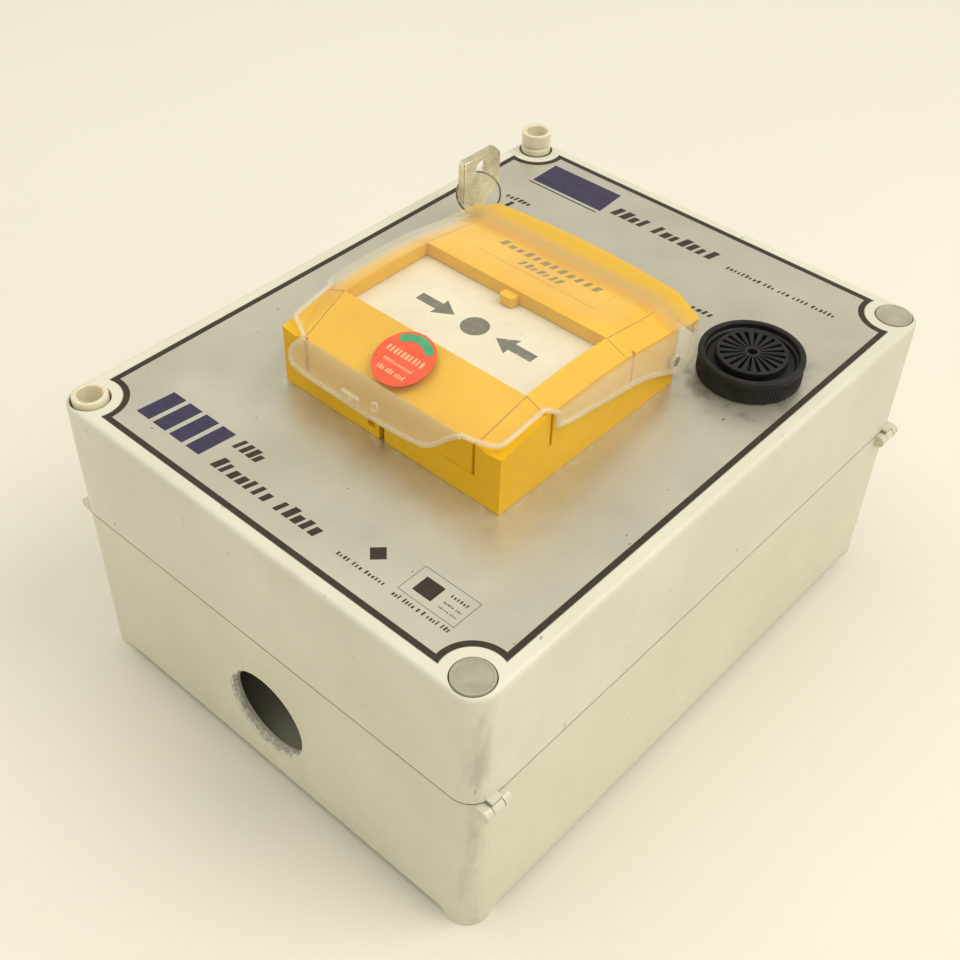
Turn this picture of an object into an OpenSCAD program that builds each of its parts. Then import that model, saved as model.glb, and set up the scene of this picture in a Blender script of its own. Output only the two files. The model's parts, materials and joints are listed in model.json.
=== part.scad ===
// Fire alarm control panel: a two-part plastic wall box with a hinged lid.
// The lid carries a call point under a clear hinged cover, a key switch and a sounder.
// Millimetres. +X is the reading direction of the panel, +Y is up as mounted, +Z is out of the wall.
// The origin is the middle of the bounding box's bottom face.

/* [Box] */
// Width of the box across X
body_w = 172; // [140:1:220]
// Length of the box along Y
body_l = 223; // [180:1:280]
// Height of the joint between base and lid
split_z = 63.6; // [40:0.1:90]
// Height of the lid's front face
lid_top_z = 108.2; // [80:0.1:140]
// Radius of the box's upright corners
corner_r = 8; // [4:0.5:16]
// Wall thickness of base and lid
wall = 3.6; // [2:0.1:6]
// Thickness of the base's floor
floor_t = 3; // [2:0.1:6]
// Height of the four corner pads
pad_h = 3.5; // [1:0.1:8]
// Radius of the rounding round the lid's front face
lid_edge_r = 1.8; // [0.5:0.1:4]

/* [Fixings] */
// Distance of a lid screw from the middle along X
screw_x = 78.1; // [60:0.1:100]
// Distance of a lid screw from the middle along Y
screw_y = 104.2; // [80:0.1:130]
// Radius of a lid screw's ring head
screw_head_r = 5.6; // [3:0.1:7]
// How far the upper left screw stands proud of its seat
lift_tl = 9.4; // [0:0.1:12]
// How far the lower left screw stands proud of its seat
lift_bl = 3.1; // [0:0.1:12]
// Hole spacing for wall fixing along X
fix_dx = 132; // [90:1:150]
// Hole spacing for wall fixing along Y
fix_dy = 184; // [120:1:200]
// Radius of a wall fixing hole
fix_r = 2.4; // [1.5:0.1:4]
// Radius of the cable entry hole
cable_r = 16.4; // [8:0.1:20]
// Height of the cable entry hole's centre
cable_z = 29.7; // [20:0.1:40]

/* [Hinge] */
// Distance of the lid hinge's axis from the middle along X
hinge_x = 87; // [86:0.1:92]
// Height of the lid hinge's axis
hinge_z = 60.9; // [50:0.1:63]
// Outer radius of a hinge lug
lug_r = 2.2; // [1.5:0.1:4]
// Radius of a lid hinge pin
pin_r = 1; // [0.6:0.05:1.5]

/* [Call point] */
// Middle of the call point along X
cp_x = 1.65; // [-10:0.05:10]
// Half the call point's width
cp_hw = 43.45; // [40:0.05:48]
// Front wall of the call point
cp_front_y = -57.3; // [-70:0.1:-50]
// Rear corners of the call point
cp_back_y = 24.6; // [15:0.1:35]
// Half the width of the window
win_hw = 35.65; // [25:0.05:38]
// Front edge of the window
win_y0 = -38.4; // [-45:0.1:-30]
// Rear edge of the window
win_y1 = -2.8; // [-10:0.1:5]
// Height of the press element's face above the lid
element_h = 23; // [18:0.1:26]
// Travel of the press element
element_travel = 2.5; // [1:0.1:3]
// Half the width of the clear cover
cover_hw = 46; // [44.8:0.1:48]
// Position of the cover's pivot along Y
pivot_y = 21.5; // [15:0.1:24]
// Height of the cover's pivot above the lid
pivot_h = 10.8; // [8:0.1:14]

/* [Key switch] */
// Key switch position along X
lock_x = -60.6; // [-70:0.1:-50]
// Key switch position along Y
lock_y = 51.4; // [40:0.1:70]
// Radius of the turning barrel
barrel_r = 5; // [4:0.1:6]
// Width of the key's bow
bow_w = 19.5; // [15:0.1:25]
// Thickness of the key
key_t = 2; // [1.5:0.1:3]
// Top of the key's bow
key_top_z = 135.1; // [125:0.1:145]
// Mean radius of the key ring
ring_r = 7.7; // [6:0.1:12]

/* [Sounder] */
// Sounder position along X
sounder_x = 59.6; // [45:0.1:70]
// Sounder position along Y
sounder_y = 45.3; // [30:0.1:80]
// Radius of the sounder's ribbed bezel
bezel_r = 16.8; // [14:0.1:20]
// Height of the bezel above the lid
bezel_h = 8.2; // [5:0.1:14]
// Number of slots in the grille
slot_count = 20; // [12:1:28]

/* [Hidden] */
$fn = 96;
eps = 0.05;
gap = 0.15;
base_floor_z = pad_h + floor_t;
inner_hw = body_w / 2 - wall;
inner_hl = body_l / 2 - wall;
inner_r = corner_r - wall;
corner_x = body_w / 2 - corner_r;
corner_y = body_l / 2 - corner_r;
rim_z = split_z + gap;
plate_t = 3;
recess_t = 0.5;
lid_skin_z = lid_top_z - recess_t;
lid_under_z = lid_skin_z - plate_t;
// Corner screw: a hollow ring head over a long shank
seat_z = 98.3;
head_h = 8.4;
head_top_z = seat_z + gap + head_h;
shank_r = 2.6;
nose_z = 59.5;
head_bore_r = 6.4;
cup_r = 3.4;
cup_depth = 6;
cap_r = 6.05;
socket_r = 4.6;
socket_z = 50;
pillar_r = 7.6;
// Hinge lugs
lug_y = 104;
lug_len = 10;
lug_gap_y = 2.3;
knuckle_hl = 2;
lug_back_x = 83.6;
// Label plate
label_hw = 81.1;
label_hl = 107.1;
scallop_r = 9.8;
label_z = lid_skin_z + eps;
label_t = 0.4;
// Call point roof: (y, height above the lid) along the middle
roof = [[-57.3, 20.5], [-38.4, 27.4], [-30, 28.0], [-18, 28.3], [-2.8, 27.8],
        [5, 26.8], [14, 25.5], [25, 24.5], [34, 23.6]];
roof_last = len(roof) - 1;
crease_hw = 36;
side_slope = 0.43;
roof_lead = 6;
roof_tail = 8;
roof_tail_drop = 0.8;
cp_skin = 2.4;
panel_depth = 0.3;
groove_w = 1.1;
groove_depth = 1;
cp_arc_r = 141.6;
// The cover swings past the call point's rear top edge, so the edge is rounded about the pivot
rear_edge_r = 14.3;
cp_arc_y = -110.6;
cover_arc_r = 250;
cover_arc_y = -215;
cover_lip_z = lid_top_z + 17;
notch_r = 6.5;
cover_t = 1.8;
cover_air = 0.8;
cover_wall = 1.5;
pivot_z = lid_top_z + pivot_h;
pivot_r = 1.6;
pivot_play = 0.06;
element_z = lid_top_z + element_h;
element_t = 2.2;
flange_z = lid_top_z + eps;
flange_t = 1.95;
tray_hw = 35.5;
tray_y0 = -51.5;
tray_y1 = 19.5;
tray_z = 82;
cut_gap = 0.5;
cp_screw_dx = 38.3;
cp_screw_y = [-46, 14];
switch_y = -20;
switch_z = 106;
switch_top = 118;
plunger_r = 1.4;
plunger_top = 124.1;
// Key switch
lock_thread_r = 7.5;
lock_face_r = 8.6;
lock_face_h = 1.4;
barrel_z = 83;
barrel_top = lid_top_z + lock_face_h - 0.2;
fit_play = 0.05;
key_bottom_z = 92;
bow_z = 117.5;
bow_hole_z = 129.4;
bow_hole_r = 3;
blade_w = 7;
ring_wire_r = 0.45;
ring_turn = 38.5;
ring_lean = -16;
// Sounder
sounder_body_r = 13.6;
grille_r = 11.4;
channel_r = 13.9;
sounder_z0 = 90;
// Lid circuit board and lamp
lamp_x = 2;
lamp_y = 42;
lid_board_z = 96;
board_t = 1.6;
// Main circuit board
board_hw = 70;
board_y0 = -84;
board_y1 = -4;
board_z = 14.5;
board_top = board_z + board_t;
boss_x = 64;
boss_y = [-78, -10];
// Battery
batt_hw = 48.5;
batt_y0 = 22;
batt_y1 = 65;
batt_top = 58.6;
strap_t = 1.2;
strap_foot_x = 56;

// ---------- shared shapes ----------

module round_slab(w, l, h, r) {
  translate([-w / 2 + r, -l / 2, 0]) cube([w - 2 * r, l, h]);
  translate([-w / 2, -l / 2 + r, 0]) cube([w, l - 2 * r, h]);
  for (sx = [-1, 1], sy = [-1, 1])
    translate([sx * (w / 2 - r), sy * (l / 2 - r), 0]) cylinder(r = r, h = h);
}

module soft_top_slab(w, l, h, r, f) {
  round_slab(w, l, h - f, r);
  round_slab(w - 2 * f, l - 2 * f, h, r - f);
  for (s = [-1, 1]) {
    translate([s * (w / 2 - f), -l / 2 + r, h - f]) rotate([-90, 0, 0]) cylinder(r = f, h = l - 2 * r);
    translate([-w / 2 + r, s * (l / 2 - f), h - f]) rotate([0, 90, 0]) cylinder(r = f, h = w - 2 * r);
  }
  for (sx = [-1, 1], sy = [-1, 1])
    translate([sx * (w / 2 - r), sy * (l / 2 - r), h - f])
      rotate_extrude() translate([r - f, 0]) circle(r = f, $fn = 48);
}

module block(x0, x1, y0, y1, z0, z1) {
  translate([x0, y0, z0]) cube([x1 - x0, y1 - y0, z1 - z0]);
}

module rod(x, y, z0, z1, r) {
  translate([x, y, z0]) cylinder(r = r, h = z1 - z0);
}

module tube(x, y, z0, z1, r_out, r_in) {
  difference() {
    rod(x, y, z0, z1, r_out);
    rod(x, y, z0 - 1, z1 + 1, r_in);
  }
}

module pan_screw(x, y, z, head_r, head_t, rod_r, rod_l) {
  difference() {
    union() {
      rod(x, y, z, z + head_t, head_r);
      rod(x, y, z - rod_l, z + eps, rod_r);
    }
    block(x - head_r * 0.7, x + head_r * 0.7, y - 0.4, y + 0.4, z + head_t * 0.5, z + head_t + 1);
    block(x - 0.4, x + 0.4, y - head_r * 0.7, y + head_r * 0.7, z + head_t * 0.5, z + head_t + 1);
  }
}

module at_corners(dx, dy) {
  for (sx = [-1, 1], sy = [-1, 1]) translate([sx * dx, sy * dy, 0]) children();
}

// ---------- base ----------

module wall_boss_holes() {
  at_corners(fix_dx / 2, fix_dy / 2) rod(0, 0, 0, 20, fix_r);
}

module base_lugs() {
  for (sx = [-1, 1], sy = [-1, 1]) {
    translate([sx * hinge_x, sy * lug_y - lug_len / 2, hinge_z])
      rotate([-90, 0, 0]) cylinder(r = lug_r, h = lug_len);
    block(min(sx * lug_back_x, sx * hinge_x), max(sx * lug_back_x, sx * hinge_x),
      sy * lug_y - lug_len / 2, sy * lug_y + lug_len / 2, hinge_z - lug_r, hinge_z + lug_r);
  }
}

module base_shell() color([0.86, 0.85, 0.78]) {
  difference() {
    union() {
      difference() {
        translate([0, 0, pad_h]) round_slab(body_w, body_l, split_z - pad_h, corner_r);
        translate([0, 0, base_floor_z]) round_slab(2 * inner_hw, 2 * inner_hl, split_z, inner_r);
      }
      at_corners(corner_x, corner_y) rod(0, 0, 0, pad_h + 1, corner_r);
      at_corners(screw_x - 0.4, screw_y - 0.6) rod(0, 0, base_floor_z - 1, split_z, pillar_r);
      at_corners(fix_dx / 2, fix_dy / 2) rod(0, 0, base_floor_z - 1, base_floor_z + 3, 5);
      for (sx = [-1, 1], y = boss_y) rod(sx * boss_x, y, base_floor_z - 1, board_z, 4);
      for (sx = [-1, 1]) rod(sx * strap_foot_x, (batt_y0 + batt_y1) / 2, base_floor_z - 1, 12, 4);
      base_lugs();
    }
    wall_boss_holes();
    at_corners(screw_x, screw_y) rod(0, 0, socket_z, split_z + 1, socket_r);
    translate([0, -body_l / 2 - 1, cable_z]) rotate([-90, 0, 0]) cylinder(r = cable_r, h = wall + 2);
    for (sx = [-1, 1], y = boss_y) rod(sx * boss_x, y, base_floor_z, board_z + 1, 1.6);
    for (sx = [-1, 1]) rod(sx * strap_foot_x, (batt_y0 + batt_y1) / 2, base_floor_z, 13, 1.6);
    seal_grooves();
    for (sy = [-1, 1]) {
      block(84.1, body_w, sy * lug_y - lug_gap_y, sy * lug_y + lug_gap_y, hinge_z - 2.6, split_z + 1);
      translate([hinge_x, sy * lug_y - lug_len / 2 + 0.4, hinge_z])
        rotate([-90, 0, 0]) cylinder(r = pin_r + 0.03, h = lug_len - 0.8);
    }
  }
}

module seal_grooves() {
  for (s = [-1, 1]) {
    block(s * 84.1 - 0.75, s * 84.1 + 0.75, -94, 94, split_z - 1.6, split_z + 1);
    block(-68, 68, s * 109.6 - 0.75, s * 109.6 + 0.75, split_z - 1.6, split_z + 1);
  }
}

module seal_strips() color([0.16, 0.16, 0.16]) {
  for (s = [-1, 1]) {
    block(s * 84.1 - 0.7, s * 84.1 + 0.7, -93.9, 93.9, split_z - 1.55, split_z);
    block(-67.9, 67.9, s * 109.6 - 0.7, s * 109.6 + 0.7, split_z - 1.55, split_z);
  }
}

module corner_sockets() color([0.75, 0.62, 0.3]) {
  at_corners(screw_x, screw_y) difference() {
    rod(0, 0, socket_z + eps, 58.4, socket_r - eps);
    rod(0, 0, socket_z + 1, 60, shank_r + 0.2);
  }
}

module hinge_pins() color([0.75, 0.76, 0.78]) {
  for (sy = [-1, 1]) translate([hinge_x, sy * lug_y - lug_len / 2 + 0.6, hinge_z])
    rotate([-90, 0, 0]) cylinder(r = pin_r, h = lug_len - 1.2);
}

module main_board() color([0.1, 0.36, 0.2]) {
  difference() {
    block(-board_hw, board_hw, board_y0, board_y1, board_z + eps, board_top);
    for (sx = [-1, 1], y = boss_y) rod(sx * boss_x, y, board_z - 1, board_top + 1, 1.7);
  }
}

module board_screws() color([0.7, 0.71, 0.73]) {
  for (sx = [-1, 1], y = boss_y) pan_screw(sx * boss_x, y, board_top + eps, 3, 2, 1.5, 8);
}

module terminal_blocks() color([0.12, 0.38, 0.2]) {
  for (x0 = [-58, 8]) difference() {
    block(x0, x0 + 50, -78, -68, board_top + eps, 26);
    for (i = [0:9]) {
      rod(x0 + 2.5 + 5 * i, -72, 23.6, 27, 1.9);
      block(x0 + 1 + 5 * i, x0 + 4 + 5 * i, -79, -75.5, 17.6, 22);
    }
  }
}

module terminal_screws() color([0.78, 0.79, 0.8]) {
  for (x0 = [-58, 8], i = [0:9]) difference() {
    rod(x0 + 2.5 + 5 * i, -72, 23.7, 25.4, 1.7);
    block(x0 + 0.6 + 5 * i, x0 + 4.4 + 5 * i, -72.3, -71.7, 24.8, 26);
  }
}

module relays() color([0.16, 0.26, 0.55]) {
  for (x = [-46, -26]) block(x - 8, x + 8, -58, -38, board_top + eps, 32);
}

module capacitors() color([0.1, 0.1, 0.16]) {
  rod(4, -54, board_top + eps, 34, 6);
  rod(20, -54, board_top + eps, 30, 4.5);
  rod(34, -54, board_top + eps, 30, 4.5);
}

module board_chips() color([0.08, 0.08, 0.08]) {
  block(-8, 6, -34, -20, board_top + eps, 18.6);
  block(14, 24, -32, -26, board_top + eps, 18.2);
  block(14, 24, -22, -16, board_top + eps, 18.2);
  block(-30, -20, -26, -20, board_top + eps, 18.2);
  block(-48, -38, -26, -20, board_top + eps, 18.2);
}

module fuse_clips() color([0.76, 0.76, 0.74]) {
  for (x = [38, 56]) difference() {
    block(x - 2, x + 2, -40, -32, board_top + eps, 25);
    translate([x - 3, -36, 21.5]) rotate([0, 90, 0]) cylinder(r = 2.7, h = 6);
    block(x - 3, x + 3, -37.6, -34.4, 21.5, 26);
  }
}

module fuse() color([0.9, 0.92, 0.92, 0.6]) {
  translate([37, -36, 21.5]) rotate([0, 90, 0]) cylinder(r = 2.6, h = 20);
}

module heat_sink() color([0.62, 0.63, 0.65]) {
  block(46, 62, -60, -57.5, board_top + eps, 36);
  for (i = [0:4]) block(46 + 3.6 * i, 47.6 + 3.6 * i, -57.6, -50, board_top + eps, 36);
}

module ribbon_header() color([0.15, 0.15, 0.16]) {
  difference() {
    block(-58, -28, -16, -7.5, board_top + eps, 25);
    block(-56.6, -29.4, -14.8, -8.7, 18.5, 26);
  }
}

module battery() color([0.2, 0.2, 0.22]) {
  block(-batt_hw, batt_hw, batt_y0, batt_y1, base_floor_z + eps, batt_top - 4);
  block(-batt_hw + 1, batt_hw - 1, batt_y0 + 1, batt_y1 - 1, batt_top - 4.01, batt_top);
}

module battery_tabs() color([0.8, 0.66, 0.35]) {
  for (y = [30, 57]) {
    block(-46, -38, y - 2.4, y + 2.4, batt_top + eps, batt_top + 0.8);
    block(-46, -45.2, y - 2.4, y + 2.4, batt_top + eps, batt_top + 4.4);
  }
}

module battery_strap() color([0.7, 0.71, 0.73]) {
  mid = (batt_y0 + batt_y1) / 2;
  difference() {
    union() {
      block(-50.2, 50.2, mid - 6, mid + 6, batt_top + 0.1, batt_top + 0.1 + strap_t);
      for (s = [-1, 1]) {
        block(s * 49.6 - 0.6, s * 49.6 + 0.6, mid - 6, mid + 6, 12.05, batt_top + 1);
        block(min(s * 49, s * 60), max(s * 49, s * 60), mid - 6, mid + 6, 12.05, 12.05 + strap_t);
      }
    }
    for (s = [-1, 1]) rod(s * strap_foot_x, mid, 11, 15, 1.8);
  }
}

module strap_screws() color([0.7, 0.71, 0.73]) {
  for (s = [-1, 1])
    pan_screw(s * strap_foot_x, (batt_y0 + batt_y1) / 2, 12.05 + strap_t + eps, 2.9, 1.9, 1.5, 5);
}

module lead(x, y, end_y) {
  lead_r = 1.1;
  top = batt_top + 3;
  low = 22;
  translate([x, y, top]) rotate([0, 90, 0]) cylinder(r = lead_r, h = -46.1 - x);
  rod(x, y, low, top, lead_r);
  translate([x, end_y, low]) rotate([-90, 0, 0]) cylinder(r = lead_r, h = y - end_y);
  rod(x, end_y, board_top + eps, low, lead_r);
  for (p = [[y, top], [y, low], [end_y, low]]) translate([x, p[0], p[1]]) sphere(r = lead_r, $fn = 32);
}

module battery_leads() color([0.65, 0.12, 0.1]) {
  lead(-65, 30, -22);
  lead(-68.5, 57, -28);
}

// ---------- lid ----------

module lid_knuckles() {
  for (sy = [-1, 1]) {
    translate([hinge_x, sy * lug_y - knuckle_hl, hinge_z])
      rotate([-90, 0, 0]) cylinder(r = lug_r - 0.1, h = 2 * knuckle_hl);
    block(84.5, hinge_x + 0.9, sy * lug_y - knuckle_hl, sy * lug_y + knuckle_hl, hinge_z, rim_z + 1);
  }
}

module lid_cutouts(extra) {
  block(cp_x - tray_hw - cut_gap - extra, cp_x + tray_hw + cut_gap + extra,
    tray_y0 - cut_gap - extra, tray_y1 + cut_gap + extra, 90, 120);
  rod(lock_x, lock_y, 90, 120, lock_thread_r + 0.1 + extra);
  rod(sounder_x, sounder_y, 90, 120, sounder_body_r + 0.2 + extra);
  rod(lamp_x, lamp_y, 90, 120, 2.4 + extra);
  for (sx = [-1, 1], y = cp_screw_y) rod(cp_x + sx * cp_screw_dx, y, 90, 120, 1.55 + extra);
}

module lid_shell() color([0.87, 0.86, 0.8]) {
  difference() {
    union() {
      difference() {
        translate([0, 0, rim_z]) soft_top_slab(body_w, body_l, lid_top_z - rim_z, corner_r, lid_edge_r);
        translate([0, 0, rim_z - 1])
          round_slab(2 * inner_hw, 2 * inner_hl, lid_under_z - rim_z + 1, inner_r);
      }
      at_corners(screw_x - 0.4, screw_y - 0.6) rod(0, 0, rim_z, lid_under_z + 1, pillar_r);
      for (x = [-16, 16]) rod(lamp_x + x, lamp_y, lid_board_z + board_t + eps, lid_under_z + 1, 3);
      lid_knuckles();
    }
    at_corners(screw_x, screw_y) {
      rod(0, 0, rim_z - 1, lid_top_z + 1, shank_r + 0.35);
      rod(0, 0, seat_z, lid_top_z + 1, head_bore_r);
    }
    label_shape(lid_skin_z, 2, 0.15);
    lid_cutouts(0);
    for (x = [-16, 16]) rod(lamp_x + x, lamp_y, lid_board_z, lid_under_z - 1.5, 1.25);
    for (sy = [-1, 1]) translate([hinge_x, sy * lug_y - lug_len, hinge_z])
      rotate([-90, 0, 0]) cylinder(r = pin_r + fit_play, h = 2 * lug_len);
  }
}

module label_shape(z, h, grow) {
  difference() {
    block(-label_hw - grow, label_hw + grow, -label_hl - grow, label_hl + grow, z, z + h);
    at_corners(screw_x, screw_y) rod(0, 0, z - 1, z + h + 1, scallop_r - grow);
  }
}

module label_plate() color([0.72, 0.72, 0.68]) {
  difference() {
    label_shape(label_z, label_t, 0);
    lid_cutouts(0.3);
  }
}

module tray_screws() color([0.72, 0.73, 0.75]) {
  for (sx = [-1, 1], y = cp_screw_y)
    pan_screw(cp_x + sx * cp_screw_dx, y, flange_z + flange_t + eps, 2.1, 1.6, 1.45, 8);
}

// ---------- call point ----------

// A solid under the call point's roof: raised by lift, hw wide each side, from z0 up.
module roof_solid(lift, hw, z0) {
  n = len(roof);
  top = [for (p = roof) lid_top_z + p[1] + lift];
  front_run = roof[1][0] - roof[0][0];
  ys = [for (i = [0:roof_last])
    i == 0 ? roof[0][0] - roof_lead : (i == roof_last ? roof[i][0] + roof_tail : roof[i][0])];
  zs = [for (i = [0:roof_last])
    i == 0 ? top[0] - roof_lead * (top[1] - top[0]) / front_run
    : (i == roof_last ? top[i] - roof_tail_drop : top[i])];
  side = [for (i = [0:roof_last]) side_slope * (hw - crease_hw) * (i == 0 ? -roof_lead / front_run : 1)];
  pts = concat(
    [for (i = [0:roof_last]) [cp_x - hw, ys[i], zs[i] - side[i]]],
    [for (i = [0:roof_last]) [cp_x - crease_hw, ys[i], zs[i]]],
    [for (i = [0:roof_last]) [cp_x + crease_hw, ys[i], zs[i]]],
    [for (i = [0:roof_last]) [cp_x + hw, ys[i], zs[i] - side[i]]],
    [for (i = [0:roof_last]) [cp_x - hw, ys[i], z0]],
    [for (i = [0:roof_last]) [cp_x + hw, ys[i], z0]]);
  crown = [for (i = [0:roof_last - 1]) [n + i, n + i + 1, 2 * n + i + 1, 2 * n + i]];
  // The outer strips twist at the front, so each is split along the line from crease to outer edge
  flanks = [for (i = [0:roof_last - 1]) for (f = [[i, i + 1, n + i], [i + 1, n + i + 1, n + i],
    [2 * n + i, 2 * n + i + 1, 3 * n + i + 1], [2 * n + i, 3 * n + i + 1, 3 * n + i]]) f];
  left = [for (i = [0:roof_last - 1]) [4 * n + i, 4 * n + i + 1, i + 1, i]];
  right = [for (i = [0:roof_last - 1]) [3 * n + i, 3 * n + i + 1, 5 * n + i + 1, 5 * n + i]];
  under = [for (i = [0:roof_last - 1]) [5 * n + i, 5 * n + i + 1, 4 * n + i + 1, 4 * n + i]];
  ends = [[0, n, 2 * n, 3 * n, 5 * n, 4 * n],
    [4 * n + roof_last, 5 * n + roof_last, 3 * n + roof_last, 2 * n + roof_last, n + roof_last, roof_last]];
  polyhedron(points = pts, faces = concat(crown, flanks, left, right, under, ends), convexity = 4);
}

module cp_body(lift, inset, z0) {
  intersection() {
    roof_solid(lift, cp_hw - inset, z0);
    block(-60, 60, cp_front_y + inset, 60, z0, 150);
    rod(cp_x, cp_arc_y, z0 - 1, 150, cp_arc_r - inset, $fn = 360);
    union() {
      block(-60, 60, -70, pivot_y, z0 - 1, 150);
      block(-60, 60, pivot_y - 1, 60, z0 - 1, pivot_z);
      translate([-60, pivot_y, pivot_z]) rotate([0, 90, 0])
        cylinder(r = rear_edge_r - inset, h = 120, $fn = 180);
    }
  }
}

module call_point_frame() color([0.95, 0.76, 0.2]) {
  difference() {
    union() {
      difference() {
        cp_body(0, 0, lid_top_z + eps);
        cp_body(-cp_skin, cp_skin, lid_top_z - 1);
      }
      intersection() {
        block(cp_x - win_hw - 1.8, cp_x + win_hw + 1.8, win_y0 - 1.8, win_y1 + 1.8, element_z + 0.3, 150);
        cp_body(-0.5, 1, lid_top_z);
      }
      for (s = [-1, 1]) translate([cp_x + s * (cp_hw - 3.4), pivot_y, pivot_z])
        rotate([0, 90, 0]) cylinder(r = 2.9, h = 3.6, center = true);
    }
    block(cp_x - win_hw, cp_x + win_hw, win_y0, win_y1, 120, 150);
    for (s = [-1, 1]) translate([cp_x + s * cp_hw, pivot_y, pivot_z])
      rotate([0, 90, 0]) cylinder(r = pivot_r + 0.02, h = 12, center = true);
    block(cp_x - 3.4, cp_x - 1.2, cp_front_y - 1, cp_front_y + 4, lid_top_z - 1, lid_top_z + 5.6);
    block(cp_x - 8, cp_x - 5, cp_front_y - 1, cp_front_y + 1.6, lid_top_z + 3, lid_top_z + 6);
    block(cp_x - 33, cp_x + 33, cp_front_y - 1, cp_front_y + panel_depth, lid_top_z + 9, lid_top_z + 24);
    for (s = [-1, 1]) {
      block(cp_x + s * 33.6 - groove_w / 2, cp_x + s * 33.6 + groove_w / 2, cp_front_y - 1,
        cp_front_y + groove_depth, lid_top_z + 9, lid_top_z + 24);
      for (p = [[-36, 12.2], [1, 12.2]])
        block(cp_x + s * cp_hw - groove_depth, cp_x + s * cp_hw + groove_depth,
          p[0] - groove_w / 2, p[0] + groove_w / 2, lid_top_z + p[1], lid_top_z + 28);
    }
  }
  translate([cp_x, win_y1 + 0.2, element_z + 0.4]) intersection() {
    block(-2.6, 2.6, -3.8, 0.5, 0, 3.2);
    translate([0, -1.4, 0]) cylinder(r = 3.1, h = 4);
  }
}

module call_point_tray() color([0.9, 0.72, 0.2]) {
  difference() {
    union() {
      block(cp_x - 40.4, cp_x + 40.4, -54.2, 21.6, flange_z, flange_z + flange_t);
      block(cp_x - tray_hw, cp_x + tray_hw, tray_y0, tray_y1, tray_z, flange_z + 1);
    }
    block(cp_x - tray_hw + 2.5, cp_x + tray_hw - 2.5, tray_y0 + 2.5, tray_y1 - 2.5, tray_z + 2.5, 120);
    for (sx = [-1, 1], y = cp_screw_y)
      rod(cp_x + sx * cp_screw_dx, y, flange_z - 1, flange_z + 4, 1.7);
  }
  block(cp_x - 13, cp_x + 13, switch_y - 7, switch_y + 7, tray_z + 2, switch_z - eps);
  for (x = [-22, 22]) block(cp_x + x - 5, cp_x + x + 5, -38, -2, tray_z + 2, 90);
}

module micro_switch() color([0.12, 0.12, 0.13]) {
  difference() {
    block(cp_x - 10, cp_x + 10, switch_y - 4, switch_y + 4, switch_z, switch_top);
    rod(cp_x, switch_y, switch_top - 6, switch_top + 1, plunger_r + fit_play);
  }
}

module switch_plunger() color([0.7, 0.15, 0.12]) {
  rod(cp_x, switch_y, switch_top - 3, plunger_top, plunger_r);
}

module press_element() color([0.93, 0.91, 0.85]) {
  block(cp_x - 37.4, cp_x + 37.4, -40.6, -0.6, element_z - element_t, element_z);
  rod(cp_x, switch_y, plunger_top + 0.2, element_z - 1, 2.6);
}

module cover_pins() color([0.8, 0.8, 0.8]) {
  for (s = [-1, 1]) translate([cp_x + s * (cover_hw - 2.6), pivot_y, pivot_z])
    rotate([0, 90, 0]) cylinder(r = pivot_r, h = 5, center = true);
}

module clear_cover() color([0.85, 0.87, 0.85, 0.35]) {
  high = cover_air + cover_t;
  z = lid_top_z;
  difference() {
    union() {
      intersection() {
        difference() {
          roof_solid(high, cover_hw, z);
          roof_solid(cover_air, cover_hw - cover_wall, z - 1);
        }
        rod(cp_x, cover_arc_y, z, 150, cover_arc_r, $fn = 720);
        translate([60, 0, 0]) rotate([0, -90, 0]) linear_extrude(height = 120)
          polygon([[z + 15, -58.8], [z + 40, -58.8], [z + 40, 45], [z + 9, 45], [z + 8.6, 31.3],
            [z + 6.4, 30.2], [z + 5, 28.6], [z + 4.4, 27], [z + 4.9, 24.5], [z + 8.3, 18.2],
            [z + 12.9, 7.2], [z + 14.7, -0.5], [z + 16.3, -12.6], [z + 17.9, -22], [z + 20, -34],
            [z + 15, -36]]);
      }
      intersection() {
        roof_solid(high, cover_hw, z);
        difference() {
          rod(cp_x, cover_arc_y, cover_lip_z, 150, cover_arc_r, $fn = 720);
          rod(cp_x, cover_arc_y, z, 151, cover_arc_r - cover_wall, $fn = 720);
        }
        block(-60, 60, pivot_y, 60, cover_lip_z, 150);
      }
      intersection() {
        translate([60, 0, 0]) rotate([0, -90, 0]) linear_extrude(height = 120)
          polygon([[z + 22.9, -57.6], [z + 22.7, -58.9], [z + 18, -60.3], [z + 11.9, -61.7],
            [z + 11.7, -60.3], [z + 17, -58.9], [z + 20.8, -58.1]]);
        translate([0, -50, 0]) rotate([90, 0, 0]) linear_extrude(height = 20)
          polygon([[cp_x - 35, z + 11], [cp_x + 16, z + 11], [cp_x + 20.5, z + 13], [cp_x + 24, z + 17],
            [cp_x + 27, z + 20.5], [cp_x + 30, z + 23], [cp_x + 30, z + 30], [cp_x - 33, z + 30],
            [cp_x - 33, z + 22], [cp_x - 37.5, z + 16], [cp_x - 37.5, z + 13.5]]);
      }
      block(cp_x - 15, cp_x - 6.5, -62.3, -60.5, z + 11.9, z + 15.5);
    }
    for (s = [-1, 1]) {
      block(min(cp_x + s * 41.4, cp_x + s * 50), max(cp_x + s * 41.4, cp_x + s * 50), -70, -36.2, z, 150);
      translate([cp_x + s * 45, pivot_y, pivot_z]) rotate([0, 90, 0])
        cylinder(r = pivot_r + pivot_play, h = 6, center = true);
    }
    rod(cp_x - 41, -60, z + 18, 150, notch_r);
    block(cp_x + 31, cp_x + 50, -70, -55.2, z, 150);
  }
}

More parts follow.
